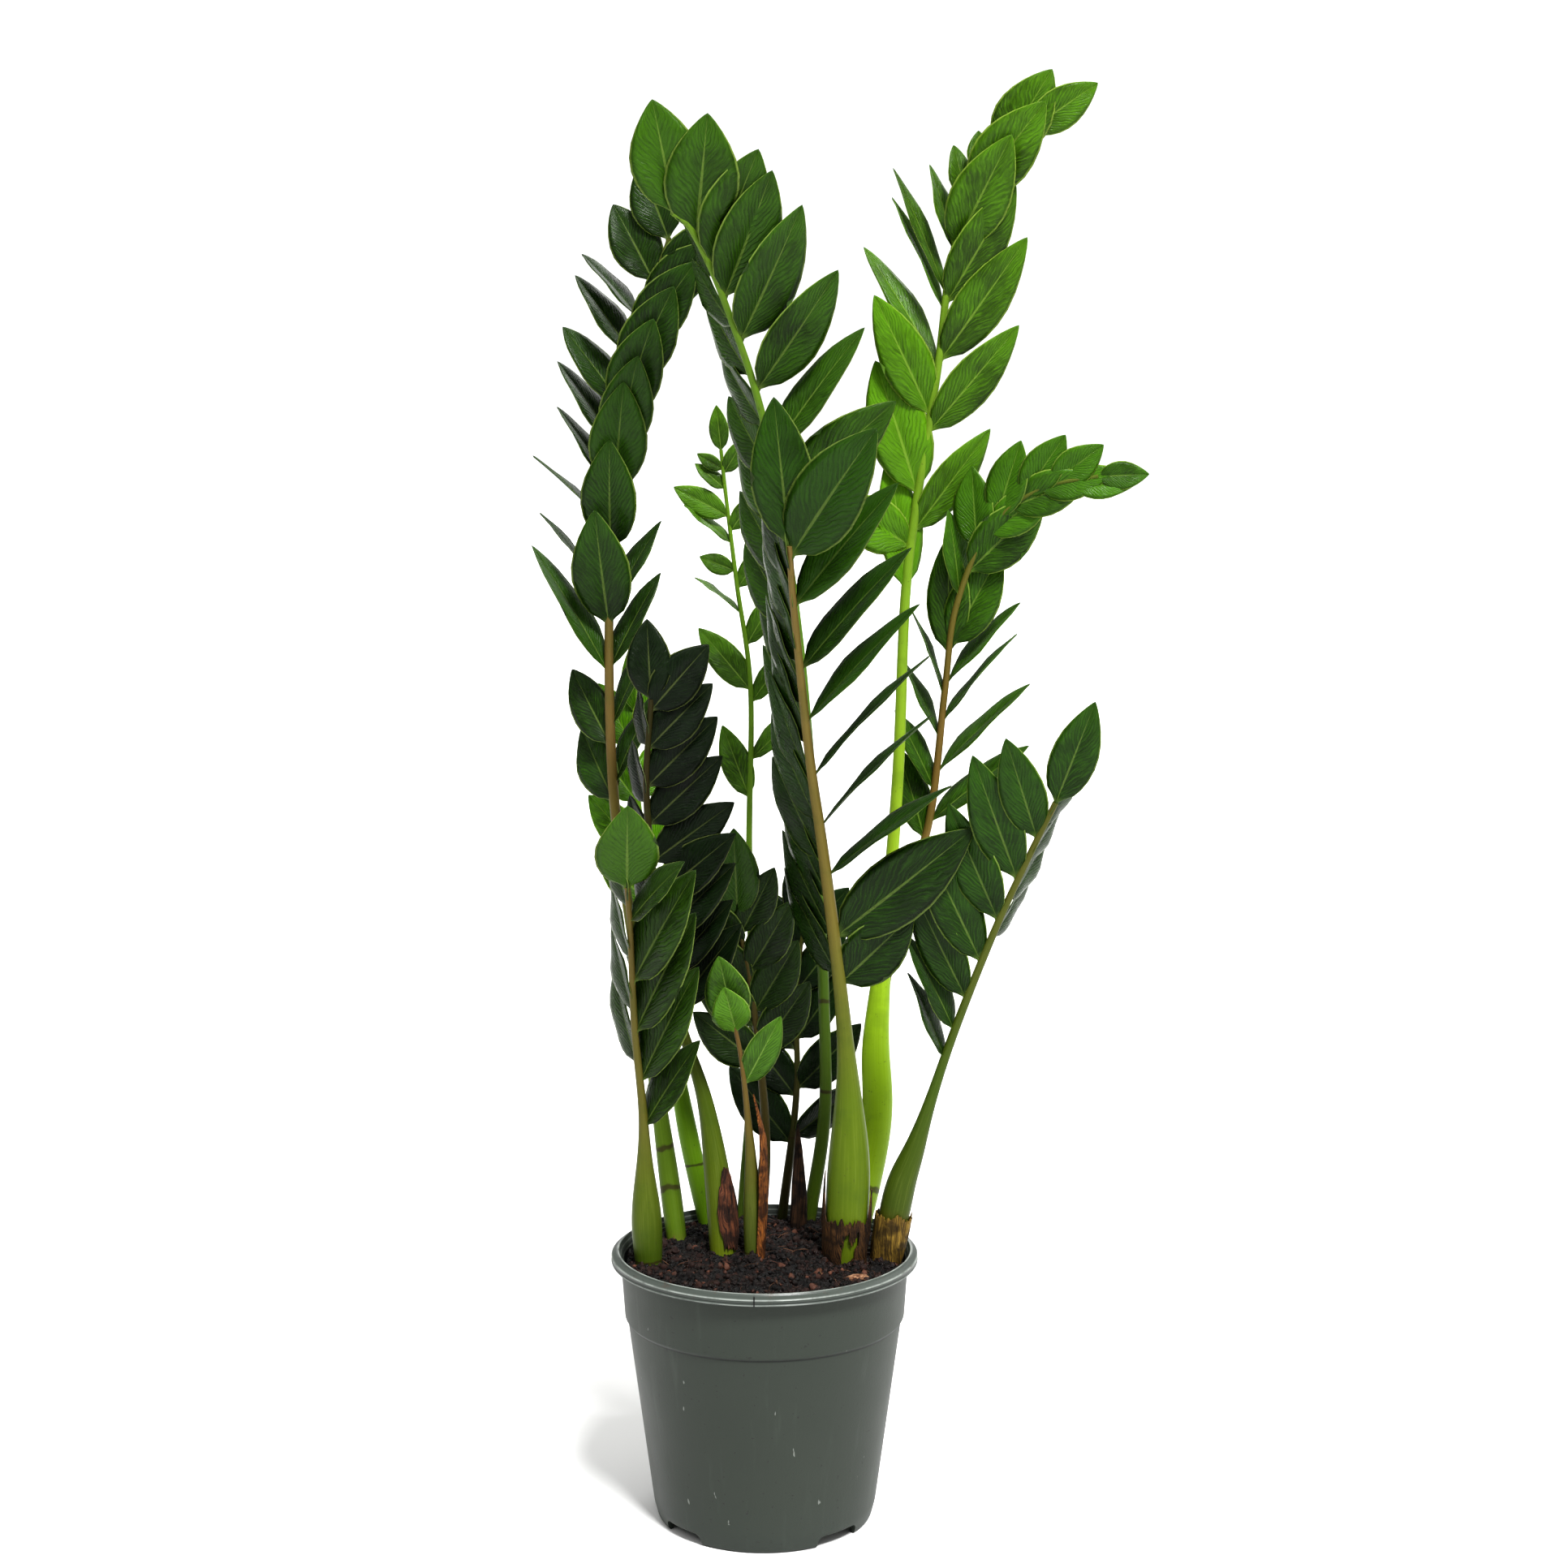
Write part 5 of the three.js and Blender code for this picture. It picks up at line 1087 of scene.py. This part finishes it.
def plan_of(name, frond):
    """A frond's plan: its stem as a line of points, and a point for each leaflet."""
    spine = Spine(frond["spine"])
    root = spine.at(0)
    points = []
    radii = []
    for down, inward, narrow in ROOT_STEPS:
        points.append(Vector((root.x * inward, root.y * inward, root.z - down)))
        radii.append(stem_radius(frond, 0, spine.length) * narrow)
    steps = math.ceil(spine.length / RING_SPACING)
    for i in range(steps + 1):
        points.append(spine.at(i / steps))
        radii.append(stem_radius(frond, i / steps * spine.length, spine.length))
    runs = [0.0] * len(ROOT_STEPS) + [i / steps for i in range(steps + 1)]
    stem_count = len(points)
    leaflets = leaflets_of(frond, spine)
    points += [root for root, *rest in leaflets]
    data = bpy.data.meshes.new(name)
    data.from_pydata([p * MM for p in points], [(i, i + 1) for i in range(stem_count - 1)], [])
    kinds = {"is_stem": "BOOLEAN", "stem_radius": "FLOAT", "stem_run": "FLOAT", "leaf_turn": "QUATERNION",
             "leaf_size": "FLOAT_VECTOR", "leaf_normal": "FLOAT_VECTOR", "leaf_mood": "FLOAT_VECTOR"}
    for label, kind in kinds.items():
        data.attributes.new(label, kind, "POINT")
    layers = {label: data.attributes[label].data for label in kinds}
    for i in range(stem_count):
        layers["is_stem"][i].value = True
        layers["stem_radius"][i].value = radii[i] * MM
        layers["stem_run"][i].value = runs[i]
    for i, (root, direction, normal, long, wide, tone) in enumerate(leaflets):
        k = stem_count + i
        across = direction.cross(normal)
        turn = Matrix((across, direction, normal)).transposed().to_quaternion()
        layers["leaf_turn"][k].value = turn
        layers["leaf_size"][k].vector = Vector((wide, long, long)) * MM
        layers["leaf_normal"][k].vector = normal
        twist, ripple, shade = [draw(frond["seed"] + stream, i) for stream in (50, 60, 70)]
        # Its third part is painted light and shade: the leaflet's tone, with a little random spread.
        layers["leaf_mood"][k].vector = (LEAF_TWIST * twist, 3 * ripple, 0.5 * shade + tone)
    return data


VEINS = 17


def leaf_material(name, upper, lower):
    """Satin ZZ leaf: a pale midrib and margin, fine feathered side veins, a duller underside, and painted
    light and shade.
    """
    material, shader = new_surface(name, 0.3, 0.14)
    uv = given(shader.id_data, "ShaderNodeUVMap", uv_map="UVMap")
    at = place_of(shader)
    side = abs(uv.part("X") * 2.0 - 1.0)
    run = uv.part("Y")
    shade = stored(shader, "leaf_mood", "Vector").part("Z")
    under = stored(shader, "underside")
    slant = run - side ** 0.8 * 0.36 + noise_at(at, 55, 3) * 0.2
    vein = (slant * (2 * math.pi * VEINS)).maths("SINE")
    patch = noise_at(at, 30, 3)
    vein_share = ranged(side, 1.0, 0.6) * ranged(patch, 0.35, 0.6, 0.3, 1.0)
    vein_line = ranged(vein, 0.4, 1.0) * vein_share
    furrow = ranged(vein, -0.1, -1.0) * vein_share
    grain = {"X": slant * (2.0 * VEINS), "Y": side * 2.5, "Z": shade * 40.0}
    grain = given(run.tree, "ShaderNodeCombineXYZ", grain)
    streak = noise_at(grain, 1.4, 4, 0.6)
    rib_width = ranged(run, 0.0, 1.0, 0.07, 0.02)
    rib = ranged(side / rib_width, 1.0, 0.5)
    # The pale margin is partly the leaflet's own colour and partly a painted highlight along its edge.
    margin_and_highlight = ranged(side, 0.92, 0.975)
    deep = [c * 0.58 for c in upper]
    light = [min(255, c * 1.36 + 6) for c in upper[:2]] + [upper[2] + 4]
    pale = [min(255, c * 0.8 + 84) for c in upper[:2]] + [upper[2] + 50]
    top = layered(
        mixed(ranged(patch, 0.34, 0.62), deep, upper),
        # Painted shade and light: darker towards the base, where the leaflets crowd and shade it, and
        # lighter towards the tip.
        (ranged(run, 0.5, 0.1, 0, 0.5), deep),
        (ranged(run, 0.55, 1.0, 0, 0.3), light),
        # Painted light and shade: each leaflet's tone turns its green lighter where it stands in light and
        # darker where it stands in shade.
        (ranged(shade, 0.0, 1.5, 0, 0.8), light),
        (ranged(shade, 0.0, -1.5, 0, 0.85), deep),
        (ranged(streak, 0.45, 0.75, 0, 0.5), light),
        (ranged(streak, 0.5, 0.25, 0, 0.6), deep),
        (furrow * 0.22, deep),
        (vein_line * 0.18, light),
        (rib * 0.38, pale),
        (margin_and_highlight, pale),
        (ranged(run, 0.1, 0.0, 0, 0.6), pale),
    )
    rim = [min(255, c + 34) for c in lower]
    below = mixed(ranged(streak, 0.4, 0.7, 0, 0.4), lower, [c * 0.8 for c in lower])
    below = mixed(rib.maths("MAXIMUM", margin_and_highlight) * 0.5, below, rim)
    feed(shader, "Base Color", mixed(under, top, below))
    feed(shader, "Roughness", ranged(noise_at(at, 120, 3), 0.3, 0.7, 0.22, 0.38) + under * 0.2)
    raised(shader, streak * 0.9 - furrow * 0.6, 0.0004, 0.7)
    return material


def stem_material(name, stops, scars):
    """Fleshy stalk: its colour runs from foot to tip, with fine streaks, specks and old ring scars."""
    material, shader = new_surface(name, 0.38, 0.12)
    run = stored(shader, "stem_run")
    section = stored(shader, "section", "Vector")
    at = place_of(shader)
    ramp = put(run.tree, "ShaderNodeValToRGB", {"Fac": run})
    for place, colour in stops[1:-1]:
        ramp.color_ramp.elements.new(place)
    ramp.color_ramp.elements[0].position = stops[0][0]
    for element, (place, colour) in zip(ramp.color_ramp.elements, stops):
        element.color = linear(*colour)
    colour = Value(ramp.outputs["Color"])
    climb = given(run.tree, "ShaderNodeCombineXYZ", {"Z": run * 3.0})
    skin = given(run.tree, "ShaderNodeVectorMath", {0: section, 1: climb}, operation="ADD")
    streak = noise_at(stretched(skin, (5, 5, 2)), 1.6, 5, 0.65)
    colour = mixed(ranged(streak, 0.45, 0.75, 0, 0.12), colour, mixed(0.4, colour, (190, 200, 110)))
    blotch = noise_at(at, 55, 4)
    colour = mixed(ranged(blotch, 0.5, 0.3, 0, 0.4), colour, mixed(0.5, colour, (44, 66, 18)))
    colour = mixed(ranged(streak, 0.5, 0.3, 0, 0.2), colour, mixed(0.5, colour, (40, 58, 22)))
    speck = ranged(noise_at(at, 520, 2), 0.68, 0.73)
    colour = mixed(speck * 0.45, colour, (58, 58, 30))
    wobble = noise_at(at, 90, 2) * 0.012
    around = run + (wobble - 0.006)
    marks = [(ranged(abs(around - scar), 0.0036, 0.0012, 0, 0.8), (46, 36, 20)) for scar in scars]
    foot = ranged(run, 0.022, 0.0, 0, 0.45)
    feed(shader, "Base Color", layered(colour, *marks, (foot, (92, 84, 40))))
    feed(shader, "Roughness", ranged(streak, 0.3, 0.7, 0.32, 0.5))
    raised(shader, streak, 0.0004, 0.35)
    return material


for name, frond in FRONDS.items():
    piece = shown(f"fine_{name}", plan_of(f"fine_{name}", frond))
    grow(piece, frond_tree, {
        "Blade": blade_piece, "Stem Sides": STEM_SIDES,
        "Arch": LEAF_ARCH, "Fold": LEAF_FOLD, "Crown": LEAF_CROWN, "Ripple": LEAF_RIPPLE,
        "Leaf": leaf_material(f"leaf_{name}", *frond["leaf"]),
        "Stem": stem_material(f"stem_{name}", frond["stem"], frond.get("scars", ())),
    })
    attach(piece, "root")
    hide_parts(f"frond_{name}")
bpy.data.objects.remove(blade_piece)

# ---------------------------------------------------------------------------------------------------
# Dry sheaths: the papery brown leaves that wrapped each young frond. Four still clasp the foot of a
# petiole, split into fibres and torn along their upper edge, and a spent one stands on its own.

# Angles go round the stem: 180 is towards the viewer and 270 to the right, and heights are along it.
# Half, the half width in degrees, and away, how far a sheath stands off, are given from its foot
# upwards. Horns are where its torn edge runs up, as (angle, rise, half width), and hole is where it is
# torn open, as (angle, top, half width).
SHEATHS = {
    "front": dict(middle=180, half=(150, 150, 135), foot=1, top=33, torn=5, away=(0, 0.5),
                  horns=((106, 30, 8), (250, 20, 8)), hole=(190, 27, 27),
                  dry=((22, 12, 8), (92, 64, 34))),
    "low_right": dict(middle=180, half=(160, 155, 150), foot=1, top=34, torn=3, away=(0, 0.3),
                      horns=((190, 4, 12),), dry=((52, 38, 12), (134, 108, 44))),
    "dark_left": dict(middle=220, half=(30, 46, 50, 34, 10), foot=13, top=62, torn=3,
                      dry=((22, 11, 8), (104, 62, 40))),
    "young": dict(middle=265, half=(66, 62, 58, 46, 12), foot=1, top=108, torn=3,
                  away=(0, 1.5, 4, 6, 2), dry=((40, 20, 10), (150, 92, 40))),
}
SHEATH_COLUMNS = 72
SHEATH_LEVELS = 34
SHEATH_CLEARANCE = 1.0
SHEATH_CRINKLE = 0.5
SHEATH_SKIN = 0.7 * MM


def dry_material(name, dark, light):
    """Papery brown tissue: fibres along its length, and dark where it is damp."""
    material, shader = new_surface(name, 0.75, 0.2)
    uv = given(shader.id_data, "ShaderNodeUVMap", uv_map="UVMap")
    at = place_of(shader)
    fibres = noise_at(stretched(uv, (1.6, 0.06, 1)), 900, 5, 0.7)
    damp = noise_at(at, 110, 4)
    colour = mixed(ranged(fibres, 0.38, 0.66), dark, light)
    colour = mixed(ranged(damp, 0.42, 0.62, 0, 0.8), colour, [c * 0.7 for c in dark])
    feed(shader, "Base Color", colour)
    raised(shader, fibres, 0.0009, 0.8)
    return material


def torn_open(hole, angle, height):
    """Whether a place on a sheath lies in its hole, which narrows to its foot and has a ragged edge."""
    middle, top, half_width = hole
    rise = height / top
    ragged = 5 * noise.noise(Vector((angle / 7, height / 6, 2)))
    beside = abs(angle - middle + 12 * (1 - rise))
    spikes = 0.3 * abs(math.sin(math.radians(angle) * 7))
    return rise < 1 - spikes and beside < 8 + (half_width - 8) * rise + ragged


def sheath_mesh(name, frond, sheath):
    """A sheath's skin as a grid round the stem, with its width and height in metres as its UV map."""
    spine = Spine(frond["spine"])
    mesh = bmesh.new()
    uv_layer = mesh.loops.layers.uv.new("UVMap")
    rows = []
    for level in range(SHEATH_LEVELS):
        f = level / (SHEATH_LEVELS - 1)
        row = []
        for column in range(SHEATH_COLUMNS):
            angle = sheath["middle"] + along(sheath["half"], f) * (column / (SHEATH_COLUMNS - 1) - 0.5) * 2
            where = Vector((angle / 9, frond["seed"] * 5, 0))
            tear = sheath["torn"] * (noise.noise(where) + 0.7 * noise.noise(where * 3.1))
            ragged_foot = sheath["torn"] * noise.noise(where * 2.3) * (1 - f)
            for side, rise, width in sheath.get("horns", ()):
                tear += rise * math.exp(-((angle - side) / width) ** 2)
            reach = sheath["top"] - sheath["foot"] + tear
            height = max(sheath["foot"] + reach * f + ragged_foot, 0.5)
            centre = spine.at(height / spine.length)
            up = spine.direction(height / spine.length)
            back = Vector((0, 1, 0))
            back = (back - up * back.dot(up)).normalized()
            left = up.cross(back)
            crinkle = SHEATH_CRINKLE * noise.noise(Vector((angle / 14, height / 9, frond["seed"])))
            away = SHEATH_CLEARANCE + along(sheath.get("away", 0), f) + crinkle
            radius = stem_radius(frond, height, spine.length) + away
            turn = math.radians(angle)
            point = centre + back * (radius * math.cos(turn)) + left * (radius * math.sin(turn))
            vertex = mesh.verts.new(point * MM)
            row.append((vertex, (radius * turn * MM, height * MM), angle, height))
        rows.append(row)
    for lower, upper in zip(rows, rows[1:]):
        for j in range(SHEATH_COLUMNS - 1):
            corners = [lower[j], upper[j], upper[j + 1], lower[j + 1]]
            if "hole" in sheath and torn_open(sheath["hole"], *lower[j][2:]):
                continue
            face = mesh.faces.new([corner[0] for corner in corners])
            for loop, corner in zip(face.loops, corners):
                loop[uv_layer].uv = corner[1]
    bmesh.ops.delete(mesh, geom=[v for v in mesh.verts if not v.link_faces], context="VERTS")
    mesh.faces.ensure_lookup_table()
    mesh.normal_update()
    middle = mesh.faces[len(mesh.faces) // 2]
    away = middle.calc_center_median() - spine.at(0.05) * MM
    if middle.normal.dot(Vector((away.x, away.y, 0))) < 0:
        bmesh.ops.reverse_faces(mesh, faces=mesh.faces)
    return mesh_from(name, mesh)


for name, sheath in SHEATHS.items():
    piece = shown(f"dry_sheath_{name}", sheath_mesh(f"dry_sheath_{name}", FRONDS[name], sheath))
    piece.data.materials.append(dry_material(f"sheath_{name}", *sheath["dry"]))
    skin = piece.modifiers.new("skin", "SOLIDIFY")
    skin.thickness = SHEATH_SKIN
    skin.offset = 1
    settled(piece)
    piece.data.shade_smooth()
    piece.data.set_sharp_from_angle(angle=math.radians(50))
    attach(piece, "root")
    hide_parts(f"sheath_{name}")

# The spent sheath is rolled to a point.
SPENT_STEPS = [((19, 50, 132), 3.6), ((20, 51, 158), 5.6), ((21, 52, 176), 5.4), ((21.5, 54, 196), 4.2),
               ((21.5, 56, 216), 2.4), ((21, 58, 232), 0.8)]
SPENT_SIDES = 30
SPENT_LEVELS = 40
spent = bmesh.new()
uv_layer = spent.loops.layers.uv.new("UVMap")
rings = []
for level in range(SPENT_LEVELS):
    f = level / (SPENT_LEVELS - 1)
    centre = Vector([along([at[k] for at, radius in SPENT_STEPS], f) for k in range(3)])
    radius = along([radius for at, radius in SPENT_STEPS], f)
    ring = []
    for side in range(SPENT_SIDES):
        turn = 2 * math.pi * side / SPENT_SIDES
        outwards = Vector((math.cos(turn), math.sin(turn), 0))
        crumple = noise.noise(Vector((math.cos(turn) * 2, f * 9, 3)))
        roll = 1 + 0.16 * math.sin(3 * turn + f * 5) + 0.2 * crumple
        ring.append(spent.verts.new((centre + radius * roll * outwards) * MM))
    rings.append(ring)
for k, (lower, upper) in enumerate(zip(rings, rings[1:])):
    for side in range(SPENT_SIDES):
        after = (side + 1) % SPENT_SIDES
        face = spent.faces.new([lower[side], lower[after], upper[after], upper[side]])
        for loop, (u, v) in zip(face.loops, ((side, k), (side + 1, k), (side + 1, k + 1), (side, k + 1))):
            loop[uv_layer].uv = (u * 0.8 * MM, v * 2 * MM)
spent.faces.new(rings[0][::-1])
spent.faces.new(rings[-1])
spent_data = mesh_from("dry_sheath_spent", spent)
spent_data.shade_smooth()
spent_sheath = shown("dry_sheath_spent", spent_data)
spent_data.materials.append(dry_material("sheath_spent", (16, 10, 8), (74, 52, 34)))
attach(spent_sheath, "root")
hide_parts("sheath_spent")

# ---------------------------------------------------------------------------------------------------
# The bark chip: a curl of pale inner bark with a rough, broken edge, pressed into the peat.

chip_low, chip_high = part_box("bark_chip")
CHIP_COLUMNS = 36
CHIP_ROWS = 16
CHIP_CURL = 2.3
CHIP_COS, CHIP_SIN = 0.94, 0.34  # of its turn on the soil
CHIP_THICKNESS = 1.5 * MM
chip = bmesh.new()
chip_middle = (chip_low + chip_high) / 2
chip_long = (chip_high.x - chip_low.x) * 0.46
chip_wide = (chip_high.y - chip_low.y) * 0.34
chip_grid = []
for j in range(CHIP_ROWS):
    v = j / (CHIP_ROWS - 1) * 2 - 1
    row = []
    for i in range(CHIP_COLUMNS):
        u = i / (CHIP_COLUMNS - 1) * 2 - 1
        rough = noise.noise(Vector((u * 3, v * 3, 5)))
        x = chip_long * u * (1 + 0.12 * noise.noise(Vector((v * 4, 9, u))))
        bow = math.cos(v * CHIP_CURL / 2)
        y = chip_wide * math.sin(v * CHIP_CURL / 2) * 1.2 * (1 + 0.2 * noise.noise(Vector((u * 4, 2, v))))
        z = chip_high.z - 3.2 * MM * (1 - bow) - 1.5 * MM * u * u + rough * 0.8 * MM - 0.6 * MM
        turned_x = x * CHIP_COS - y * CHIP_SIN
        turned_y = x * CHIP_SIN + y * CHIP_COS
        row.append(chip.verts.new((chip_middle.x + turned_x, chip_middle.y + turned_y, z)))
    chip_grid.append(row)
for lower, upper in zip(chip_grid, chip_grid[1:]):
    for i in range(CHIP_COLUMNS - 1):
        chip.faces.new([lower[i], lower[i + 1], upper[i + 1], upper[i]])
bark_chip = shown("bark_curl", mesh_from("bark_curl", chip))
thick = bark_chip.modifiers.new("thickness", "SOLIDIFY")
thick.thickness = CHIP_THICKNESS
thick.offset = -1
settled(bark_chip)
bark_chip.data.shade_smooth()
bark_chip.data.set_sharp_from_angle(angle=math.radians(45))
bark, shader = new_surface("inner_bark", 0.8, 0.2)
at = place_of(shader)
grain = noise_at(stretched(at, (0.25, 1, 1)), 900, 5, 0.65)
colour = mixed(ranged(grain, 0.35, 0.65), (78, 46, 30), (160, 124, 96))
stain = ranged(noise_at(at, 240, 4), 0.5, 0.66, 0, 0.8)
feed(shader, "Base Color", mixed(stain, colour, (52, 26, 16)))
raised(shader, grain, 0.001, 0.8)
bark_chip.data.materials.append(bark)
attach(bark_chip, "root")
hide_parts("bark_chip")

# ---------------------------------------------------------------------------------------------------
# The rhizomes: potato-like tubers under the peat, from which the petioles grow. Their skin is tan and
# ringed with the scars of old leaves.

tuber_skin, shader = new_surface("tuber_skin", 0.7, 0.3)
at = place_of(shader)
bands = noise_at(stretched(at, (0.2, 0.2, 1)), 260, 4)
colour = mixed(bands, (120, 92, 56), (190, 160, 112))
colour = mixed(ranged(noise_at(at, 120, 5), 0.5, 0.7, 0, 0.7), colour, (70, 46, 28))
feed(shader, "Base Color", colour)
raised(shader, bands, 0.0012, 0.7)
for side in ("left", "right", "back"):
    low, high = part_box(f"rhizome_{side}")
    middle = (low + high) / 2
    radii = (high - low) / 2
    ball = bmesh.new()
    bmesh.ops.create_uvsphere(ball, u_segments=48, v_segments=32, radius=1)
    for vertex in ball.verts:
        rough = noise.noise(vertex.co * 2.2 + middle * 90)
        ringed = 0.985 + 0.012 * math.sin(vertex.co.z * 26) + 0.02 * rough
        vertex.co = middle + Vector([c * r for c, r in zip(vertex.co * min(ringed, 1), radii)])
    data = mesh_from(f"tuber_{side}", ball)
    data.shade_smooth()
    data.materials.append(tuber_skin)
    tuber = shown(f"tuber_{side}", data)
    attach(tuber, "root")
    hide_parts(f"rhizome_{side}")
